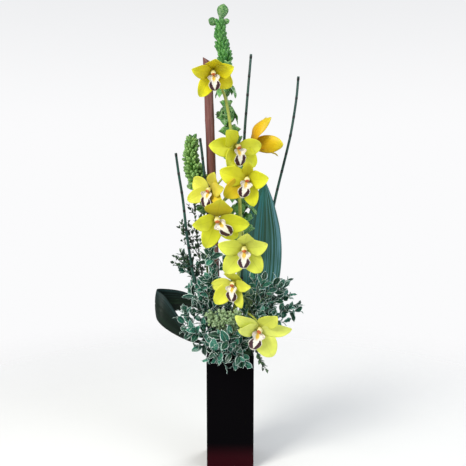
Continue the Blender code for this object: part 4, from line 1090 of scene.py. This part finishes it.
def cutPath(points, low, high):
    # the stretch of a path between two shares of its length
    lengths = [0.0]
    for before, after in zip(points, points[1:]):
        lengths.append(lengths[-1] + (after - before).length)
    return [point for point, length in zip(points, lengths) if low <= length / lengths[-1] <= high]


def crownParts(stalk, line):
    # the bracts that spread at the tip of a stalk
    ahead = (line[-1] - line[-2]).normalized()
    parts = []
    for direction, length, width, blunt in bellCrowns[stalk]:
        out = Vector(direction).normalized()
        leaf = leafMesh(length, width, *bractBends, 6, 12, "calyx", blunt)
        side = out.cross(Vector((0, -1, 0))).normalized()
        turn = Matrix((side, side.cross(out) * -1, out)).transposed().to_4x4()
        place = Matrix.Translation(line[-1] - ahead * bractSink * mm) @ turn
        parts.append(turnedOut(madePlain(leaf, "bract", place), 0.01))
    return parts


def buildBells():
    openSheets = []
    for bell, leaf in zip(openBells, bellLeaves):
        openSheets += [bellMesh(*bell), leafMesh(*leaf, 6, 8, "calyx")]
    groups = {
        "open": bladeCollection("openBells", openSheets),
        "hanging": bladeCollection("hangingBells", [leafMesh(*leaf, 6, 10, "calyx", hangingBlunt)
                                                    for leaf in hangingLeaves]),
    }
    for stalk, (foot, route, thick, thin, end, skin) in bellLines.items():
        bud = roundedMesh("bud", budProfile, 8, skin)
        bud.data.transform(Matrix.Scale(mm, 4))
        groups["young"] = bladeCollection(stalk + "Buds", [bud])
        line = cutPath(plantedPath(foot, route, 12), 0.0, end)
        fixed = ("bells_green", "bells_stalk_" + stalk)
        parts = [growBare("bellStem", [(line, thick * mm, thin * mm)], 10, "bellStem", *fixed)]
        for seed, stretch in enumerate(bellStretches, 3):
            name, kind, low, high, spacing, count, lean, tipLean, size, tipSize = stretch
            if name == stalk:
                look = {**whorlLook, "Spacing": spacing * mm, "Count": count, "Turn": math.pi / count, "Lean": lean,
                        "Tip Lean": tipLean, "Size": size, "Tip Size": tipSize}
                finishes = ("bellStem", skin if kind == "young" else "calyx")
                part = (cutPath(line, low, high), hiddenShare * thin * mm, hiddenShare * thin * mm)
                parts.append(grow("bellWhorls", [part], look, finishes, groups[kind], seed, *fixed))
        madePiece(joined([*parts, *crownParts(stalk, line)], asName("bellsStalk", stalk)), *fixed)
        removeCollection(groups["young"])
    removeCollection(groups["open"])
    removeCollection(groups["hanging"])


buildBells()
print("bells ready")


# Aspidistra leaves: broad ribbons along their own routes; all in mm

ribbonPlans = {
    # node: foot, trough, rows, finish, stations of centre, half width and direction of the width
    "aspidistra_leaf_tall": ((24, 36), 0.16, 60, "tallBlade", [
        ((33, 42, 300), 3.0, (1.0, 0.10, -0.20)), ((48, 46, 335), 24.0, (1.0, 0.14, -0.30)),
        ((61, 52, 382), 43.0, (1.0, 0.14, -0.20)), ((66, 58, 440), 48.0, (1.0, 0.14, -0.08)),
        ((69, 58, 500), 42.0, (1.0, 0.12, 0.0)), ((72, 56, 560), 25.0, (1.0, 0.10, 0.0)),
        ((74, 52, 596), 10.0, (1.0, 0.06, 0.0)), ((75, 50, 614), 0.0, (1.0, 0.0, 0.0))]),
    "aspidistra_leaf_looped": ((-41, -10), -0.12, 72, "darkBlade", [
        ((-58, -14, 268), 3.0, (0.60, 0.0, 0.80)), ((-84, -16, 278), 7.0, (0.50, 0.0, 0.85)),
        ((-116, -14, 306), 18.0, (0.45, 0.10, 0.90)), ((-146, -6, 338), 29.0, (0.25, 0.10, 0.96)),
        ((-162, 14, 349), 30.0, (0.0, 0.0, 1.0)), ((-142, 34, 350), 27.0, (-0.10, 0.0, 1.0)),
        ((-104, 42, 349), 20.0, (-0.10, 0.10, 1.0)), ((-70, 46, 344), 9.0, (-0.10, 0.10, 1.0)),
        ((-56, 47, 342), 0.0, (-0.10, 0.10, 1.0))]),
}
ribbonLook = {"columns": 28, "thickness": 0.6, "edgeShare": 0.5, "edgeWave": 0.8, "waves": 17, "groove": 0.9,
              "grooveWidth": 0.05, "fullDepthAt": 10, "petioleRoot": 3.0, "petioleTip": 2.1, "doubles": 0.02}


def buildRibbon(node, foot, trough, rows, finish, stations):
    look = ribbonLook
    centres, halves, sides = zip(*((Vector(centre), half, Vector(side)) for centre, half, side in stations))

    def shape(across, along):
        centre = splineAt(centres, along)
        ahead = splineAt(centres, min(1.0, along + 0.01)) - splineAt(centres, max(0.0, along - 0.01))
        side = splineAt(sides, along).normalized()
        half = max(0.0, splineAt(halves, along))
        face = side.cross(ahead).normalized()
        depth = min(1.0, half / look["fullDepthAt"])
        raised = trough * half * (across * across - 0.5)
        raised -= look["groove"] * hump(across, 0, look["grooveWidth"]) * depth
        raised += look["edgeWave"] * math.sin(look["waves"] * along + 2 * across) * across ** 4 * depth
        return (centre + side * (half * across) + face * raised) * mm
    sheet = sheetMesh("ribbon", look["columns"], rows, shape, finish, look["thickness"] * mm, look["edgeShare"])
    blade = turnedOut(madePlain(sheet, "ribbon"), look["doubles"])
    # the petiole runs up into the root of the blade
    line = plantedPath(foot, [centres[0], centres[1].lerp(centres[0], 0.75)], 6)
    stalk = growBare("petiole", [(line, look["petioleRoot"] * mm, look["petioleTip"] * mm)], 12, finish,
                     "aspidistra_green", node)
    madePiece(joined([blade, stalk], asName("aspidistra", node.split("_")[-1])), "aspidistra_green", node)


for ribbonNode, ribbonPlan in ribbonPlans.items():
    buildRibbon(ribbonNode, *ribbonPlan)
print("aspidistra leaves ready")


# Leafy sprigs, twigs and berry sprays; routes in mm

sprigLook = {"Count": 1, "Turn": 2.4, "Turn Variation": 0.35, "Lean": 1.15, "Tip Lean": 0.55, "Lean Variation": 0.25,
             "Tip Size": 0.72, "Size Variation": 0.18, "Sides": 6, "From": 0.26, "To": 1.0}
sprigShoots = {"count": 8, "from": 0.15, "to": 0.92, "length": 30.0, "lean": 0.95, "radius": 0.9}
# length, width, curl, fold and wave of the leaves
sprigLeaves = [(27, 15, 0.5, 0.25, 1.0), (24, 14, 0.8, 0.35, 1.2), (30, 17, 0.3, 0.15, 0.9), (22, 13, 1.0, 0.3, 1.2)]
# some sprigs' leaf size and shoot length, against the usual, and the room between their leaves
usualHabit = (1.0, 1.0, 4.6)
sprigHabits = {"back": (0.68, 0.62, 4.6), "front": (1.25, 0.75, 6.0), "front_left": (1.25, 0.75, 6.0),
               "front_right": (1.10, 0.70, 6.0), "left_front": (1.10, 1.0, 5.4), "centre": (1.05, 1.30, 3.8),
               "left_mid": (1.0, 1.15, 4.2)}
sprigRoutes = {
    # foot, route, seed
    "left_front": ((-35, -36), [(-56, -50, 290), (-80, -54, 314), (-94, -50, 342)], 1),
    "left_mid": ((-26, -25), [(-42, -28, 312), (-60, -26, 356), (-68, -24, 388)], 2),
    "left_back": ((-20, 39), [(-46, 54, 330), (-80, 54, 392), (-106, 42, 452)], 3),
    "front_left": ((-20, -38), [(-26, -62, 282), (-30, -76, 270), (-32, -82, 256)], 4),
    "front": ((-6, -38), [(-6, -62, 288), (-4, -78, 292), (-2, -90, 286)], 5),
    "front_right": ((9, -38), [(14, -62, 280), (18, -78, 265), (18, -86, 248)], 6),
    "right_mid": ((24, -35), [(44, -46, 326), (60, -46, 374), (68, -38, 404)], 7),
    "right_inner": ((38, -23), [(58, -26, 320), (80, -22, 360), (94, -18, 396)], 10),
    "right": ((38, -8), [(68, -8, 312), (100, -2, 360), (122, 2, 398)], 8),
    "right_low": ((40, 8), [(72, 14, 294), (106, 18, 320), (144, 14, 344)], 9),
    "back": ((8, 40), [(4, 68, 300), (-10, 90, 332), (-24, 100, 362)], 11),
    "centre": ((-14, -13), [(-24, -26, 350), (-34, -34, 420), (-40, -32, 468)], 12),
}
twigLook = {"Spacing": 7.0 * mm, "Count": 2, "Turn": 1.57, "Turn Variation": 0.4, "Lean": 0.95, "Tip Lean": 0.5,
            "Lean Variation": 0.3, "Size": 1.0, "Tip Size": 0.8, "Size Variation": 0.25, "Sides": 6,
            "From": 0.25, "To": 1.0}
twigShoots = {
    "left": {"count": 8, "from": 0.40, "to": 0.95, "length": 24.0, "lean": 0.8, "radius": 0.6},
    "hanging": {"count": 3, "from": 0.40, "to": 0.90, "length": 14.0, "lean": 0.6, "radius": 0.6},
}
twigLeaves = [(13, 5.5, 0.4, 0.2, 0.3), (10, 6.0, 0.7, 0.3, 0.3)]
twigRoutes = {
    # foot, route, side branches, seed
    "left": ((-28, -10), [(-52, 2, 360), (-66, 10, 450), (-74, 12, 520), (-76, 12, 576)],
             [[(-66, 10, 450), (-86, 16, 486), (-104, 18, 520)],
              [(-59, 6, 405), (-84, 12, 432), (-108, 16, 448)]], 31),
    "hanging": ((37, -37), [(48, -62, 274), (58, -68, 260), (64, -68, 246), (68, -66, 230)], [], 32),
}
berryLook = {"Spacing": 1.8 * mm, "Count": 3, "Turn": 2.4, "Turn Variation": 0.5, "Lean": 1.2, "Tip Lean": 0.35,
             "Lean Variation": 0.45, "Size": 1.0, "Tip Size": 0.95, "Size Variation": 0.25, "Sides": 6,
             "From": 0.60, "To": 1.0}
berryShoots = {"count": 7, "from": 0.50, "to": 0.97, "length": 21.0, "lean": 0.9, "radius": 0.7}
# how far the berries stand off, and a berry's profile at the end of its stalk
berryReaches = (9, 12, 15)
berryProfile = [(0, -2.6), (1.6, -2.1), (2.5, -0.8), (2.6, 0.6), (1.9, 2.0), (0.6, 2.7), (0, 2.8)]
berryRoutes = {
    "front_left": ((-13, -24), [(-18, -50, 308), (-26, -64, 330)], 51),
    "front": ((14, -22), [(9, -50, 314), (2, -66, 336)], 52),
    "right": ((26, -14), [(40, -26, 338), (48, -30, 368)], 53),
}
# radius in mm at the root and at the tip
stemRadii = {"sprig": (1.6, 1.0), "twig": (1.3, 0.7), "branch": (1.0, 0.6), "berries": (1.4, 0.9)}


# turn from shoot to shoot, range of lengths, and how a shoot bends on along the stem and up
shootLook = {"turn": 2.4, "turnVariation": 0.4, "lengths": (0.7, 1.15), "straight": 0.55, "bent": 0.5,
             "onward": 0.45, "upward": 0.25, "tipRadius": 0.5}


def stemLine(kind, points):
    return (points, *(radius * mm for radius in stemRadii[kind]))


def sideShoots(line, plan, seed):
    # short shoots that leave a stem in turn and bend up towards the light
    look = shootLook
    chance = random.Random(seed)
    shoots = []
    for number in range(plan["count"]):
        share = lerp(plan["from"], plan["to"], (number + 0.5) / plan["count"])
        index = splitShare(share, len(line))[0]
        start = line[index]
        ahead = (line[index + 1] - start).normalized()
        turn = number * look["turn"] + chance.uniform(-look["turnVariation"], look["turnVariation"])
        side = Matrix.Rotation(turn, 3, ahead) @ ahead.orthogonal().normalized()
        length = plan["length"] * chance.uniform(*look["lengths"]) * mm
        out = (ahead * math.cos(plan["lean"]) + side * math.sin(plan["lean"])).normalized()
        bend = start + out * look["straight"] * length
        onward = (out + look["onward"] * ahead + Vector((0, 0, look["upward"]))).normalized()
        path = smoothPath([start, bend, bend + onward * look["bent"] * length], 4)
        shoots.append((path, plan["radius"] * mm, look["tipRadius"] * plan["radius"] * mm))
    return shoots


def buildSprigs():
    leaves = bladeCollection("sprigLeaves", [leafMesh(*leaf, 4, 8, "variegated") for leaf in sprigLeaves])
    for name, (foot, route, seed) in sprigRoutes.items():
        whole = plantedPath(foot, route, 8)
        size, reach, room = sprigHabits.get(name, usualHabit)
        shoots = sideShoots(whole[1:], {**sprigShoots, "length": sprigShoots["length"] * reach}, seed)
        grow(asName("pittosporum", name), [stemLine("sprig", whole), *shoots],
             {**sprigLook, "Size": size, "Spacing": room * mm}, ("sprigBark", "variegated"), leaves, seed,
             "pittosporum_green", "pittosporum_" + name)
    removeCollection(leaves)
    small = bladeCollection("twigLeaves", [leafMesh(*leaf, 2, 5, "smallLeaf") for leaf in twigLeaves])
    for name, (foot, route, branches, seed) in twigRoutes.items():
        line = plantedPath(foot, route, 8)
        lines = [stemLine("twig", line), *sideShoots(line[1:], twigShoots[name], seed)]
        for number, branch in enumerate(branches, 1):
            side = [point * mm for point in smoothPath(branch, 8)]
            lines += [stemLine("branch", side), *sideShoots(side, {**twigShoots[name], "from": 0.2}, seed + number)]
        grow(asName("twig", name), lines, twigLook, ("twigBark", "smallLeaf"), small, seed,
             "twig_green", "twig_" + name)
    removeCollection(small)


def berryMesh(reach):
    # a berry at the end of its own thin stalk, along Z
    berry = roundedMesh("berry", [(radius, reach + height) for radius, height in berryProfile], 9, "berry")
    stalk = roundedMesh("stalk", [(0, -0.2), (0.45, 0.0), (0.4, reach - 2.2), (0, reach - 2.0)], 5, "berry")
    both = joined([berry, stalk], "berry")
    both.data.transform(Matrix.Scale(mm, 4))
    return both


def buildBerries():
    fruit = bladeCollection("berrySet", [berryMesh(reach) for reach in berryReaches])
    for name, (foot, route, seed) in berryRoutes.items():
        line = plantedPath(foot, route, 10)
        grow(asName("berries", name), [stemLine("berries", line), *sideShoots(line[1:], berryShoots, seed)],
             berryLook, ("berry", "berry"), fruit, seed, "berry_green", "berries_" + name)
    removeCollection(fruit)


buildSprigs()
print("sprigs and twigs ready")
buildBerries()
print("berries ready")
